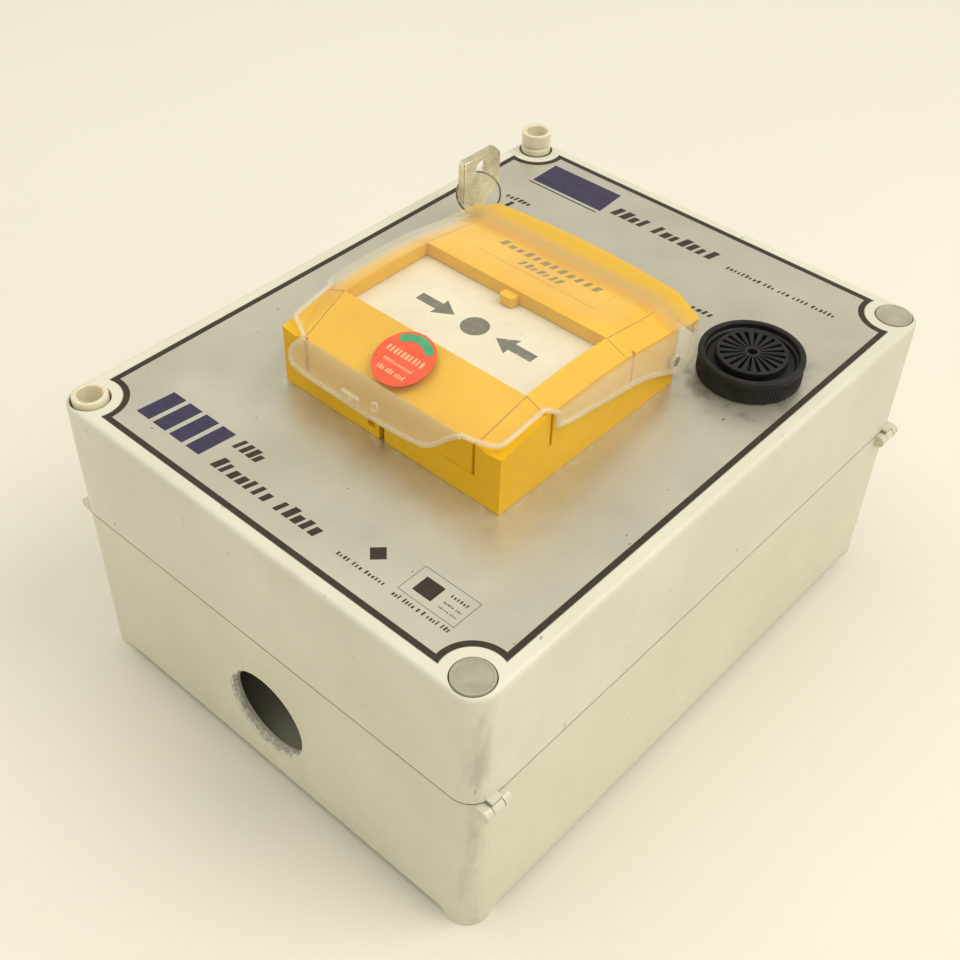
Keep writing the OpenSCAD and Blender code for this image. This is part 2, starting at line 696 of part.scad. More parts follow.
module cover_sticker() color([0.95, 0.3, 0.22]) {
  slope = atan((roof[1][1] - roof[0][1]) / (roof[1][0] - roof[0][0]));
  mid_y = -48.9;
  mid_z = lid_top_z + roof[0][1] + (mid_y - roof[0][0]) * tan(slope) + cover_air + cover_t + 0.06;
  translate([cp_x - 1, mid_y, mid_z]) rotate([slope, 0, 0]) cylinder(r = 9.6, h = 0.15);
}

// ---------- key switch ----------

module hex_ring(x, y, z0, z1, flat_r, in_r) {
  difference() {
    translate([x, y, z0]) cylinder(r = flat_r / cos(30), h = z1 - z0, $fn = 6);
    rod(x, y, z0 - 1, z1 + 1, in_r);
  }
}

module lock_body() color([0.78, 0.78, 0.77]) {
  difference() {
    union() {
      rod(lock_x, lock_y, barrel_z + 1, lid_top_z + 0.1, lock_thread_r);
      rod(lock_x, lock_y, lid_top_z + eps, lid_top_z + lock_face_h, lock_face_r);
    }
    rod(lock_x, lock_y, barrel_z - 2, lid_top_z + 5, barrel_r + fit_play);
  }
}

module lock_nut() color([0.74, 0.75, 0.76]) {
  hex_ring(lock_x, lock_y, 100.6, lid_under_z - eps, 9.5, lock_thread_r + 0.05);
}

module lock_barrel() color([0.8, 0.8, 0.79]) {
  difference() {
    rod(lock_x, lock_y, barrel_z, barrel_top, barrel_r);
    block(lock_x - key_t / 2 - 0.2, lock_x + key_t / 2 + 0.2,
      lock_y - blade_w / 2 - 0.25, lock_y + blade_w / 2 + 0.25, key_bottom_z - 0.3, barrel_top + 1);
  }
}

module lock_cam() color([0.7, 0.7, 0.7]) {
  rod(lock_x, lock_y, 80.2, barrel_z - eps, 4);
  block(lock_x - 1.8, lock_x + 1.8, lock_y, lock_y + 6, 80.2, 82);
}

module contact_block() color([0.13, 0.13, 0.14]) {
  difference() {
    block(lock_x - 10, lock_x + 10, lock_y - 10, lock_y + 10, 67, 90);
    rod(lock_x, lock_y, 79.6, 84.2, 8.6);
    rod(lock_x, lock_y, 84, 92, lock_thread_r + 0.05);
  }
}

module contact_tabs() color([0.8, 0.7, 0.4]) {
  for (x = [-5, 5], y = [-5, 5])
    block(lock_x + x - 0.4, lock_x + x + 0.4, lock_y + y - 1.4, lock_y + y + 1.4, 63.6, 67 - eps);
}

module key() color([0.8, 0.79, 0.72]) {
  chamfer = 3;
  hy = bow_w / 2;
  difference() {
    translate([lock_x - key_t / 2, lock_y, 0]) rotate([90, 0, 90]) linear_extrude(height = key_t)
      polygon([[-hy + 2, bow_z], [-hy, bow_z + 2], [-hy, key_top_z - 1], [-hy + 1, key_top_z],
        [hy - chamfer, key_top_z], [hy, key_top_z - chamfer], [hy, bow_z + 2], [hy - 2, bow_z],
        [blade_w / 2, bow_z - 1], [blade_w / 2, key_bottom_z + 2], [1, key_bottom_z],
        [-blade_w / 2, key_bottom_z + 2], [-blade_w / 2, bow_z - 1]]);
    translate([lock_x - 5, lock_y, bow_hole_z]) rotate([0, 90, 0]) cylinder(r = bow_hole_r, h = 10);
  }
}

module key_ring() color([0.55, 0.54, 0.5]) {
  top_z = bow_hole_z - bow_hole_r + 2 * ring_wire_r + 0.25;
  translate([lock_x, lock_y, top_z]) rotate([0, 0, ring_turn]) rotate([ring_lean, 0, 0])
    for (side = [-1, 1]) translate([0, side * ring_wire_r, -ring_r]) rotate([90, 0, 0])
      rotate_extrude() translate([ring_r, 0]) circle(r = ring_wire_r + 0.02, $fn = 24);
}

// ---------- sounder and lamp ----------

module sounder_bezel() color([0.1, 0.1, 0.1]) {
  z = lid_top_z;
  tube(sounder_x, sounder_y, z + eps, z + bezel_h - 0.6, bezel_r, channel_r);
  tube(sounder_x, sounder_y, z + bezel_h - 0.7, z + bezel_h, bezel_r - 0.4, channel_r);
}

module sounder_body() color([0.12, 0.12, 0.12]) {
  z = lid_top_z + 5.2;
  difference() {
    rod(sounder_x, sounder_y, sounder_z0, z, sounder_body_r);
    rod(sounder_x, sounder_y, sounder_z0 + 3, z - 2, sounder_body_r - 1.8);
    for (a = [0:30:330]) translate([sounder_x, sounder_y, 0]) rotate([0, 0, a]) rod(6, 0, z - 3, z + 1, 1);
  }
}

module sounder_grille() color([0.14, 0.14, 0.14]) {
  z = lid_top_z + 5.2;
  difference() {
    rod(sounder_x, sounder_y, z + eps, lid_top_z + bezel_h - 0.1, grille_r);
    rod(sounder_x, sounder_y, z + 0.9, 130, 1.5);
    for (i = [0:slot_count - 1]) translate([sounder_x, sounder_y, 0])
      rotate([0, 0, i * 360 / slot_count]) block(3, 10.2, -0.62, 0.62, z + 0.9, 130);
  }
}

module sounder_disc() color([0.8, 0.65, 0.3]) {
  rod(sounder_x, sounder_y, 100, 100.4, sounder_body_r - 2);
}

module sounder_nut() color([0.12, 0.12, 0.12]) {
  hex_ring(sounder_x, sounder_y, 98.8, lid_under_z - eps, 16.5, sounder_body_r + 0.05);
}

module sounder_pins() color([0.8, 0.7, 0.4]) {
  for (x = [-5, 5]) rod(sounder_x + x, sounder_y, 83, sounder_z0 - eps, 0.8);
}

module lamp_bezel() color([0.1, 0.1, 0.1]) {
  tube(lamp_x, lamp_y, lid_top_z + eps, lid_top_z + 0.9, 3.4, 2.25);
}

module lamp_lens() color([0.3, 0.75, 0.35, 0.7]) {
  rod(lamp_x, lamp_y, lid_board_z + board_t + eps, lid_top_z + 0.6, 2.2);
  translate([lamp_x, lamp_y, lid_top_z + 0.6]) intersection() {
    sphere(r = 2.2, $fn = 48);
    translate([-3, -3, -0.1]) cube([6, 6, 6]);
  }
}

module lid_board() color([0.1, 0.36, 0.2]) {
  difference() {
    block(lamp_x - 21, lamp_x + 21, lamp_y - 12, lamp_y + 12, lid_board_z, lid_board_z + board_t);
    for (x = [-16, 16]) rod(lamp_x + x, lamp_y, lid_board_z - 1, lid_board_z + 3, 1.4);
  }
}

module lid_board_screws() color([0.72, 0.73, 0.75]) {
  for (x = [-16, 16]) {
    rod(lamp_x + x, lamp_y, lid_board_z - 1.8, lid_board_z - eps, 2.5);
    rod(lamp_x + x, lamp_y, lid_board_z - 0.1, lid_board_z + 5, 1.2);
  }
}

module lid_header() color([0.15, 0.15, 0.16]) {
  difference() {
    block(lamp_x - 10, lamp_x + 10, lamp_y - 8, lamp_y - 1, lid_board_z - 8, lid_board_z - eps);
    block(lamp_x - 8.8, lamp_x + 8.8, lamp_y - 6.8, lamp_y - 2.2, lid_board_z - 9, lid_board_z - 2);
  }
}

// ---------- lid screws ----------

module corner_screw(sx, sy, lift) {
  translate([sx * screw_x, sy * screw_y, lift]) difference() {
    union() {
      rod(0, 0, seat_z + gap, seat_z + gap + 2.6, screw_head_r);
      rod(0, 0, seat_z + gap + 2.5, seat_z + gap + 3.5, screw_head_r - 0.8);
      rod(0, 0, seat_z + gap + 3.4, head_top_z, screw_head_r);
      rod(0, 0, nose_z, seat_z + gap + 0.1, shank_r);
    }
    rod(0, 0, head_top_z - cup_depth, head_top_z + 1, cup_r);
    block(-cup_r, cup_r, -0.7, 0.7, head_top_z - cup_depth - 1.2, head_top_z);
  }
}

module screw_cap(sx, sy) {
  translate([sx * screw_x, sy * screw_y, 0]) {
    rod(0, 0, head_top_z + eps, head_top_z + 1.7, cap_r);
    rod(0, 0, head_top_z - 4, head_top_z + 0.1, cup_r - 0.05);
  }
}

module screw_top_left() color([0.86, 0.85, 0.7]) corner_screw(-1, 1, lift_tl);
module screw_bottom_left() color([0.86, 0.85, 0.7]) corner_screw(-1, -1, lift_bl);
module screw_top_right() color([0.86, 0.85, 0.7]) corner_screw(1, 1, 0);
module screw_bottom_right() color([0.86, 0.85, 0.7]) corner_screw(1, -1, 0);
module cap_top_right() color([0.86, 0.85, 0.7]) screw_cap(1, 1);
module cap_bottom_right() color([0.86, 0.85, 0.7]) screw_cap(1, -1);

// ---------- draw ----------

base_shell();
seal_strips();
corner_sockets();
hinge_pins();
main_board();
board_screws();
terminal_blocks();
terminal_screws();
relays();
capacitors();
board_chips();
fuse_clips();
fuse();
heat_sink();
ribbon_header();
battery();
battery_tabs();
battery_strap();
strap_screws();
battery_leads();
lid_shell();
label_plate();
call_point_tray();
tray_screws();
micro_switch();
call_point_frame();
cover_pins();
lock_body();
lock_nut();
contact_block();
contact_tabs();
sounder_bezel();
sounder_body();
sounder_grille();
sounder_disc();
sounder_nut();
sounder_pins();
lamp_bezel();
lamp_lens();
lid_board();
lid_board_screws();
lid_header();
clear_cover();
cover_sticker();
press_element();
switch_plunger();
lock_barrel();
lock_cam();
key();
key_ring();
screw_top_left();
screw_bottom_left();
screw_top_right();
screw_bottom_right();
cap_top_right();
cap_bottom_right();
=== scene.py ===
"""Fire alarm control panel: detailed pieces, materials, light and camera round the CAD frame."""
import json
import math
import random

import bmesh
import bpy
from mathutils import Matrix, Vector


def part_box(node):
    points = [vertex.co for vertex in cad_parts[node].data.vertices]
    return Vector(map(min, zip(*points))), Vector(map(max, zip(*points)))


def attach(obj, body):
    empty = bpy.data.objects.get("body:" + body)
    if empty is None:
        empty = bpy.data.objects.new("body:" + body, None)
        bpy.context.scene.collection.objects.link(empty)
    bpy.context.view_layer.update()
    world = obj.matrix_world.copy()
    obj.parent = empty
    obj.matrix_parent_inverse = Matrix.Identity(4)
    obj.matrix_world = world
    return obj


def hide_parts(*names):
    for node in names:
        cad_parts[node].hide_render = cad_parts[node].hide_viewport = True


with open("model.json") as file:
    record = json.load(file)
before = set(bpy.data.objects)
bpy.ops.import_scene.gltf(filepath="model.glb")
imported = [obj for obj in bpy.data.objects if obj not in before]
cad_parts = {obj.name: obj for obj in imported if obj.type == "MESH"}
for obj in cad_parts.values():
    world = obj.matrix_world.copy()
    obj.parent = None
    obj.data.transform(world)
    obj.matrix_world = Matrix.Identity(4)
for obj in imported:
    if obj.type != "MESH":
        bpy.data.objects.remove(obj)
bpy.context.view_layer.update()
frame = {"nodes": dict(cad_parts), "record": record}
NODES = frame["nodes"]
MM = 0.001

# ---------- sizes read from the frame, in metres ----------

LID_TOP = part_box("lid_shell")[1].z
JOINT_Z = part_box("base_shell")[1].z
LABEL_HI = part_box("label_plate")[1]
CP_LO, CP_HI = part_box("call_point_frame")
CP_X = (CP_LO.x + CP_HI.x) / 2
COVER_LO, COVER_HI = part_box("clear_cover")
ELEMENT_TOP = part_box("press_element")[1].z
BEZEL_LO, BEZEL_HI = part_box("sounder_bezel")
GRILLE_LO, GRILLE_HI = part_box("sounder_grille")
STICKER_LO, STICKER_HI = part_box("cover_sticker")


def middle(node):
    low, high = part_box(node)
    return (low + high) / 2


def body_of_node(node):
    """The body that a CAD node rides on."""
    for body, nodes in frame["record"]["behaviour"]["bodies"].items():
        if node in nodes:
            return body
    raise KeyError(node)


# ---------- mesh helpers ----------

def add_object(name, data):
    thing = bpy.data.objects.new(name, data)
    bpy.context.scene.collection.objects.link(thing)
    return thing


def piece(name, bm, materials, body, bevel=0.0, sharp=32, replaces=()):
    """Turns bm into a piece on a CAD body, with optional rounded edges."""
    bmesh.ops.recalc_face_normals(bm, faces=bm.faces)
    mesh = bpy.data.meshes.new(name)
    bm.to_mesh(mesh)
    bm.free()
    mesh.polygons.foreach_set("use_smooth", [True] * len(mesh.polygons))
    mesh.set_sharp_from_angle(angle=math.radians(sharp))
    for material in materials:
        mesh.materials.append(material)
    thing = add_object(name, mesh)
    if bevel:
        round_edges(thing, bevel)
    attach(thing, body)
    if replaces:
        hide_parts(*replaces)
    return thing


def round_edges(thing, width):
    rounding = thing.modifiers.new("round_edges", "BEVEL")
    rounding.width = width
    rounding.segments = 2
    rounding.limit_method = "ANGLE"
    rounding.angle_limit = math.radians(35)


def slab(bm, outline, z0, z1, place=None, material=0):
    """A flat plate with the given outline, from z0 to z1, moved by place if that is given."""
    low = [bm.verts.new((x, y, z0)) for x, y in outline]
    high = [bm.verts.new((x, y, z1)) for x, y in outline]
    n = len(outline)
    faces = [bm.faces.new(high), bm.faces.new(low[::-1])]
    faces += [bm.faces.new((low[k], low[(k + 1) % n], high[(k + 1) % n], high[k])) for k in range(n)]
    for face in faces:
        face.material_index = material
    if place is not None:
        bmesh.ops.transform(bm, matrix=place, verts=low + high)


def close_rings(bm, rings):
    """Joins rings of points in turn, and the last to the first."""
    n = len(rings[0])
    for a, b in zip(rings, rings[1:] + rings[:1]):
        for k in range(n):
            bm.faces.new((a[k], a[(k + 1) % n], b[(k + 1) % n], b[k]))


def circle(x, y, r, steps=64, start=0.0, end=2 * math.pi):
    whole = abs(end - start - 2 * math.pi) < 1e-6
    spans = steps if whole else steps - 1
    return [(x + r * math.cos(start + (end - start) * k / spans),
             y + r * math.sin(start + (end - start) * k / spans)) for k in range(steps)]


def rectangle(x0, x1, y0, y1):
    return [(x0, y0), (x1, y0), (x1, y1), (x0, y1)]


def near(radius, height, *offsets):
    """Profile points given by their offsets in mm from one radius and height."""
    return [(radius + r * MM, height + z * MM) for r, z in offsets]


def revolve(bm, profile, steps=72, closed=False, place=None, radius=None):
    """Turns a list of (radius, height) about the upright axis. radius(r, z, step) may shape it."""
    rings = []
    for r, z in profile:
        if r < 1e-7:
            rings.append([bm.verts.new((0, 0, z))])
            continue
        ring = []
        for k in range(steps):
            a = 2 * math.pi * k / steps
            rr = radius(r, z, k) if radius else r
            ring.append(bm.verts.new((rr * math.cos(a), rr * math.sin(a), z)))
        rings.append(ring)
    pairs = list(zip(rings, rings[1:])) + ([(rings[-1], rings[0])] if closed else [])
    for a, b in pairs:
        for k in range(steps):
            n = (k + 1) % steps
            if len(a) == 1:
                bm.faces.new((a[0], b[k], b[n]))
            elif len(b) == 1:
                bm.faces.new((a[k], a[n], b[0]))
            else:
                bm.faces.new((a[k], a[n], b[n], b[k]))
    if place is not None:
        bmesh.ops.transform(bm, matrix=place, verts=[v for ring in rings for v in ring])


def tube(bm, path, radius, sides=12):
    """A round wire along a path, with both ends closed."""
    rings = []
    side = Vector((0, 0, 1))
    for k, point in enumerate(path):
        ahead = (path[min(k + 1, len(path) - 1)] - path[max(k - 1, 0)]).normalized()
        side = (side - ahead * side.dot(ahead)).normalized()
        other = ahead.cross(side)
        rings.append([bm.verts.new(point + radius * (math.cos(a) * side + math.sin(a) * other))
                      for a in (2 * math.pi * s / sides for s in range(sides))])
    for a, b in zip(rings, rings[1:]):
        for s in range(sides):
            bm.faces.new((a[s], a[(s + 1) % sides], b[(s + 1) % sides], b[s]))
    bm.faces.new(rings[0][::-1])
    bm.faces.new(rings[-1])


def in_mm(*pairs):
    """A table written in mm, as metres."""
    return [(a * MM, b * MM) for a, b in pairs]


def along(table, value):
    """Straight-line interpolation in a table of (value, result) pairs; it carries on past both ends."""
    for (a, fa), (b, fb) in zip(table, table[1:]):
        if value <= b:
            break
    return fa + (fb - fa) * (value - a) / (b - a)


def smooth_step(t):
    t = min(max(t, 0.0), 1.0)
    return t * t * (3 - 2 * t)


# ---------- materials ----------

NOISE_ROUGHNESS = 0.55
CORNER_GRIME = 0.45
# Where along Y the clear cover's yellow tint starts, and where it is full
TINT_Y = (18 * MM, 29 * MM)


def start(name):
    material = bpy.data.materials.new(name)
    material.use_nodes = True
    tree = material.node_tree
    return material, tree, tree.nodes["Principled BSDF"]


def put(node, socket, value):
    """Links an output to one of a node's sockets, or sets the socket's own value."""
    if isinstance(value, bpy.types.NodeSocket):
        node.id_data.links.new(value, node.inputs[socket])
    else:
        node.inputs[socket].default_value = value


def own_place(tree, stretch=(1, 1, 1)):
    """The piece's own coordinates, in metres."""
    coordinates = tree.nodes.new("ShaderNodeTexCoord")
    mapping = tree.nodes.new("ShaderNodeMapping")
    put(mapping, "Scale", stretch)
    put(mapping, "Vector", coordinates.outputs["Object"])
    return mapping.outputs["Vector"]


def noise(tree, size, detail, stretch=(1, 1, 1)):
    """Noise whose features are about size mm across."""
    texture = tree.nodes.new("ShaderNodeTexNoise")
    put(texture, "Scale", 1 / (size * MM))
    put(texture, "Detail", detail)
    put(texture, "Roughness", NOISE_ROUGHNESS)
    put(texture, "Vector", own_place(tree, stretch))
    return texture.outputs["Fac"]


def steps(tree, value, low, high, out_low=0.0, out_high=1.0):
    """Spreads value from low..high over out_low..out_high, clamped."""
    node = tree.nodes.new("ShaderNodeMapRange")
    put(node, "From Min", low)
    put(node, "From Max", high)
    put(node, "To Min", out_low)
    put(node, "To Max", out_high)
    put(node, "Value", value)
    return node.outputs["Result"]


def patches(tree, size, detail, low, high, out_low=0.0, out_high=1.0, stretch=(1, 1, 1)):
    """Noise of that size in mm, with its low..high spread over out_low..out_high."""
    return steps(tree, noise(tree, size, detail, stretch), low, high, out_low, out_high)


def blend_colours(tree, amount, first, second):
    """Mixes two colours, or two colour outputs, by amount."""
    node = tree.nodes.new("ShaderNodeMix")
    node.data_type = "RGBA"
    put(node, "Factor", amount)
    for socket, colour in ((6, first), (7, second)):
        put(node, socket, (*colour, 1) if isinstance(colour, (tuple, list)) else colour)
    return node.outputs[2]


def combine(tree, first, second, how="MULTIPLY"):
    """One Math operation on two values, each an output or a plain number."""
    node = tree.nodes.new("ShaderNodeMath")
    node.operation = how
    put(node, 0, first)
    put(node, 1, second)
    return node.outputs[0]


def distance_from(tree, value, centre=0):
    """How far an output is from centre, either way."""
    return combine(tree, combine(tree, value, centre, "SUBTRACT") if centre else value, 0, "ABSOLUTE")


def bumps(shader, height, depth):
    """Relief that is depth mm deep."""
    node = shader.id_data.nodes.new("ShaderNodeBump")
    put(node, "Distance", depth * MM)
    put(node, "Height", height)
    put(shader, "Normal", node.outputs["Normal"])


def finish_of(name, dark, light, blotch, rough, grain, depth, metallic=0.0, coat=0.0,
              alpha=None, specks=0.0, speck_colour=(0.12, 0.10, 0.07), stretch=(1, 1, 1), glow=0.0,
              specular=0.5):
    """Two mottled tones, uneven gloss, a fine grain and a few dirt specks. Sizes are in mm."""
    material, tree, shader = start(name)
    colour = blend_colours(tree, patches(tree, blotch, 4, 0.35, 0.65), dark, light)
    if specks:
        spots = patches(tree, 3.2, 2, 0.74 - 0.06 * specks, 0.80)
        spots = combine(tree, spots, patches(tree, 28, 2, 0.45, 0.62))
        colour = blend_colours(tree, spots, colour, speck_colour)
    put(shader, "Base Color", colour)
    put(shader, "Roughness", patches(tree, blotch * 0.4, 5, 0.3, 0.7, *rough, stretch))
    put(shader, "Metallic", metallic)
    put(shader, "Coat Weight", coat)
    put(shader, "Coat Roughness", 0.12)
    put(shader, "Specular IOR Level", specular)
    if glow:
        put(shader, "Subsurface Weight", glow)
        put(shader, "Subsurface Scale", 2 * MM)
    if alpha is not None:
        put(shader, "Alpha", alpha)
    bumps(shader, noise(tree, grain, 2, stretch), depth)
    return material


def axes(tree):
    """The piece's own X, Y and Z, in metres."""
    split = tree.nodes.new("ShaderNodeSeparateXYZ")
    put(split, "Vector", own_place(tree))
    return split.outputs["X"], split.outputs["Y"], split.outputs["Z"]


def box_side_plastic(name, dark, light, rough, scuffed, grain_depth):
    """Moulded box plastic: faint smears, short scuffs, dirt specks and a painted shade line along the lid
    joint.
    """
    material, tree, shader = start(name)
    colour = blend_colours(tree, patches(tree, 55, 5, 0.35, 0.68), dark, light)
    smear = patches(tree, 30, 5, 0.60, 0.78, 0, 0.25, (1, 1, 0.25))
    colour = blend_colours(tree, smear, colour, (0.52, 0.48, 0.36))
    if scuffed:
        scuff = combine(tree, patches(tree, 1.1, 1, 0.75, 0.79, 0, scuffed, (0.5, 0.5, 0.16)),
                        patches(tree, 26, 2, 0.54, 0.62))
        colour = blend_colours(tree, scuff, colour, (0.30, 0.28, 0.23))
    spots = combine(tree, patches(tree, 2.6, 1, 0.76, 0.80), patches(tree, 22, 1, 0.52, 0.62))
    colour = blend_colours(tree, spots, colour, (0.20, 0.17, 0.12))
    x, y, z = axes(tree)
    corner = combine(tree, steps(tree, distance_from(tree, x), 79 * MM, 85 * MM),
                     steps(tree, distance_from(tree, y), 102 * MM, 108 * MM))
    smudge = patches(tree, 7, 5, 0.48, 0.66, 0, CORNER_GRIME, (1, 1, 0.3))
    colour = blend_colours(tree, combine(tree, corner, smudge), colour, (0.30, 0.27, 0.20))
    # Painted shade: a dark band within a fraction of a mm of the lid joint stands in for the shadow in the
    # gap between lid and base.
    joint_shade = steps(tree, distance_from(tree, z, JOINT_Z), 0.16 * MM, 0.34 * MM, 0.85, 0)
    put(shader, "Base Color", blend_colours(tree, joint_shade, colour, (0.10, 0.09, 0.065)))
    put(shader, "Roughness", patches(tree, 18, 1, 0.3, 0.7, *rough))
    if grain_depth:
        bumps(shader, noise(tree, 0.45, 2), grain_depth)
    return material


def rectangle_distance(tree, x, y, half_x, half_y):
    """Distance in metres, in plan, outside a rectangle."""
    own_x, own_y, _ = axes(tree)
    squares = []
    for socket, centre, half in ((own_x, x, half_x), (own_y, y, half_y)):
        past = combine(tree, distance_from(tree, socket, centre), half, "SUBTRACT")
        past = combine(tree, past, 0, "MAXIMUM")
        squares.append(combine(tree, past, past))
    return combine(tree, combine(tree, *squares, "ADD"), 0.5, "POWER")


def label_metal():
    """Satin silver label with handling smudges, dust round the call point and grime by the sounder."""
    material, tree, shader = start("label_metal")
    colour = blend_colours(tree, patches(tree, 42, 5, 0.32, 0.68), (0.56, 0.545, 0.455),
                           (0.66, 0.645, 0.545))
    away = rectangle_distance(tree, CP_X, (CP_LO.y + CP_HI.y) / 2, (CP_HI.x - CP_LO.x) / 2,
                              (CP_HI.y - CP_LO.y) / 2)
    dust = combine(tree, steps(tree, away, 0, 5 * MM, 1, 0), patches(tree, 3, 6, 0.5, 0.66, 0, 0.75))
    colour = blend_colours(tree, dust, colour, (0.72, 0.70, 0.60))
    sounder = middle("sounder_bezel")
    ring = rectangle_distance(tree, sounder.x, sounder.y - 3 * MM, 8 * MM, 8 * MM)
    grime = combine(tree, steps(tree, ring, 6 * MM, 17 * MM, 1, 0),
                    patches(tree, 5, 5, 0.48, 0.62, 0, 0.55))
    colour = blend_colours(tree, grime, colour, (0.27, 0.26, 0.20))
    spots = combine(tree, patches(tree, 2.2, 1, 0.76, 0.79), patches(tree, 20, 1, 0.5, 0.6))
    put(shader, "Base Color", blend_colours(tree, spots, colour, (0.14, 0.12, 0.09)))
    put(shader, "Metallic", 0.72)
    gloss = patches(tree, 15, 5, 0.3, 0.7, 0.33, 0.44)
    put(shader, "Roughness", combine(tree, gloss, combine(tree, dust, 0.3), "ADD"))
    bumps(shader, noise(tree, 0.35, 2), 0.012)
    return material


def element_plastic():
    """Off-white element with faint wipe marks."""
    material, tree, shader = start("element_white")
    colour = blend_colours(tree, patches(tree, 14, 5, 0.3, 0.7), (0.76, 0.71, 0.55), (0.85, 0.80, 0.64))
    wipe = patches(tree, 2.2, 3, 0.68, 0.76, 0, 0.4, (0.12, 1, 1))
    put(shader, "Base Color", blend_colours(tree, wipe, colour, (0.55, 0.51, 0.40)))
    put(shader, "Roughness", steps(tree, wipe, 0, 0.5, 0.32, 0.6))
    bumps(shader, noise(tree, 0.5, 2), 0.008)
    return material


def cells(tree, size, randomness, feature):
    """Distance in a pattern of cells, size mm across."""
    texture = tree.nodes.new("ShaderNodeTexVoronoi")
    texture.feature = feature
    put(texture, "Scale", 1 / (size * MM))
    put(texture, "Randomness", randomness)
    put(texture, "Vector", own_place(tree))
    return texture.outputs["Distance"]


def board_resist():
    """Circuit board: green resist over a grid of tracks and pads."""
    material, tree, shader = start("board_green")
    line = steps(tree, cells(tree, 6, 0.85, "DISTANCE_TO_EDGE"), 0.035, 0.06, 1, 0)
    pad = steps(tree, cells(tree, 5.08, 0.25, "F1"), 0.13, 0.17, 1, 0)
    colour = blend_colours(tree, line, (0.015, 0.10, 0.045), (0.03, 0.19, 0.08))
    put(shader, "Base Color", blend_colours(tree, pad, colour, (0.62, 0.60, 0.52)))
    put(shader, "Roughness", steps(tree, pad, 0, 1, 0.28, 0.42))
    bumps(shader, combine(tree, line, pad, "ADD"), 0.04)
    return material


def clear_plastic(name, tint, alpha, rough, grazing=None):
    """Clear plastic with wipe marks in its gloss. It is denser at grazing angles if that is given."""
    material, tree, shader = start(name)
    tone = patches(tree, 20, 4, 0.3, 0.7)
    put(shader, "Base Color", blend_colours(tree, tone, [c * 0.93 for c in tint], tint))
    if grazing is not None:
        layer = tree.nodes.new("ShaderNodeLayerWeight")
        put(layer, "Blend", 0.35)
        alpha = steps(tree, layer.outputs["Facing"], 0.35, 1, alpha, grazing)
    put(shader, "Alpha", alpha)
    put(shader, "IOR", 1.5)
    put(shader, "Roughness", patches(tree, 6, 5, 0.35, 0.7, *rough, (1, 0.35, 1)))
    bumps(shader, noise(tree, 4, 2), 0.01)
    return material


def tinted_plastic():
    """The cover's rear part: clear ahead, turning yellow and denser towards the rear edge."""
    material, tree, shader = start("cover_tinted")
    depth = steps(tree, axes(tree)[1], *TINT_Y)
    put(shader, "Base Color", blend_colours(tree, depth, (0.90, 0.80, 0.50), (0.90, 0.55, 0.035)))
    put(shader, "Alpha", steps(tree, depth, 0, 1, 0.05, 0.72))
    put(shader, "Roughness", patches(tree, 6, 5, 0.35, 0.7, 0.10, 0.22))
    put(shader, "Specular IOR Level", 0.3)
    bumps(shader, noise(tree, 4, 2), 0.01)
    return material


def printed_ink(name, dark, light, wear=0.0, worn=(0.6, 0.58, 0.5)):
    """Printed ink with uneven cover and, where worn, the ground showing through."""
    material, tree, shader = start(name)
    colour = blend_colours(tree, patches(tree, 3, 4, 0.3, 0.7), dark, light)
    if wear:
        colour = blend_colours(tree, patches(tree, 1.6, 6, 0.60, 0.70, 0, wear), colour, worn)
    put(shader, "Base Color", colour)
    put(shader, "Roughness", patches(tree, 2, 3, 0.3, 0.7, 0.38, 0.55))
    put(shader, "Specular IOR Level", 0.25)
    bumps(shader, noise(tree, 0.4, 2), 0.006)
    return material


LID_PLASTIC = box_side_plastic("lid_plastic", (0.67, 0.65, 0.53), (0.75, 0.73, 0.61), (0.34, 0.48), 0.7,
                               0.025)
BOX_PLASTIC = box_side_plastic("box_plastic", (0.65, 0.63, 0.49), (0.72, 0.70, 0.55), (0.26, 0.32), 0, 0)
FLAKE_PLASTIC = finish_of("flake_plastic", (0.50, 0.47, 0.37), (0.88, 0.86, 0.74), 1.6, (0.5, 0.7),
                          0.5, 0.05)
LABEL_METAL = label_metal()
YELLOW = finish_of("call_point_yellow", (0.80, 0.44, 0.006), (0.88, 0.52, 0.012), 26,
                   (0.28, 0.42), 0.6, 0.008, specks=0.4, speck_colour=(0.25, 0.13, 0.02),
                   specular=0.2)
# Painted shade: a darker yellow-brown for the strips that stand in for the shade in the call point roof's
# grooves.
GROOVE_SHADE_YELLOW = finish_of("call_point_groove_shade", (0.38, 0.18, 0.01), (0.46, 0.22, 0.012), 9,
                        (0.5, 0.6), 0.6, 0.01)
ELEMENT = element_plastic()
NYLON = finish_of("screw_nylon", (0.66, 0.63, 0.46), (0.80, 0.76, 0.58), 6, (0.22, 0.36),
                  0.5, 0.015, glow=0.5, specks=0.4)
CAP_NYLON = finish_of("cap_nylon", (0.34, 0.33, 0.24), (0.42, 0.41, 0.31), 5, (0.30, 0.42),
                      0.5, 0.015, glow=0.4)
SOUNDER_BLACK = finish_of("sounder_black", (0.008, 0.0075, 0.006), (0.018, 0.017, 0.014), 7,
                          (0.42, 0.58), 0.45, 0.02, specks=0.6, speck_colour=(0.18, 0.16, 0.12),
                          specular=0.3)
NICKEL = finish_of("worn_nickel", (0.66, 0.60, 0.43), (0.86, 0.80, 0.60), 5, (0.22, 0.42),
                   0.7, 0.03, metallic=0.95, specks=0.8, speck_colour=(0.24, 0.19, 0.12))
WIRE = finish_of("ring_wire", (0.20, 0.18, 0.15), (0.42, 0.39, 0.33), 3, (0.25, 0.4),
                 0.6, 0.01, metallic=1.0)
STEEL = finish_of("zinc_steel", (0.48, 0.48, 0.46), (0.64, 0.64, 0.62), 6, (0.25, 0.42),
                  0.4, 0.01, metallic=1.0)
BRASS = finish_of("bare_brass", (0.52, 0.38, 0.15), (0.66, 0.50, 0.23), 5, (0.25, 0.4),
                  0.4, 0.01, metallic=1.0)
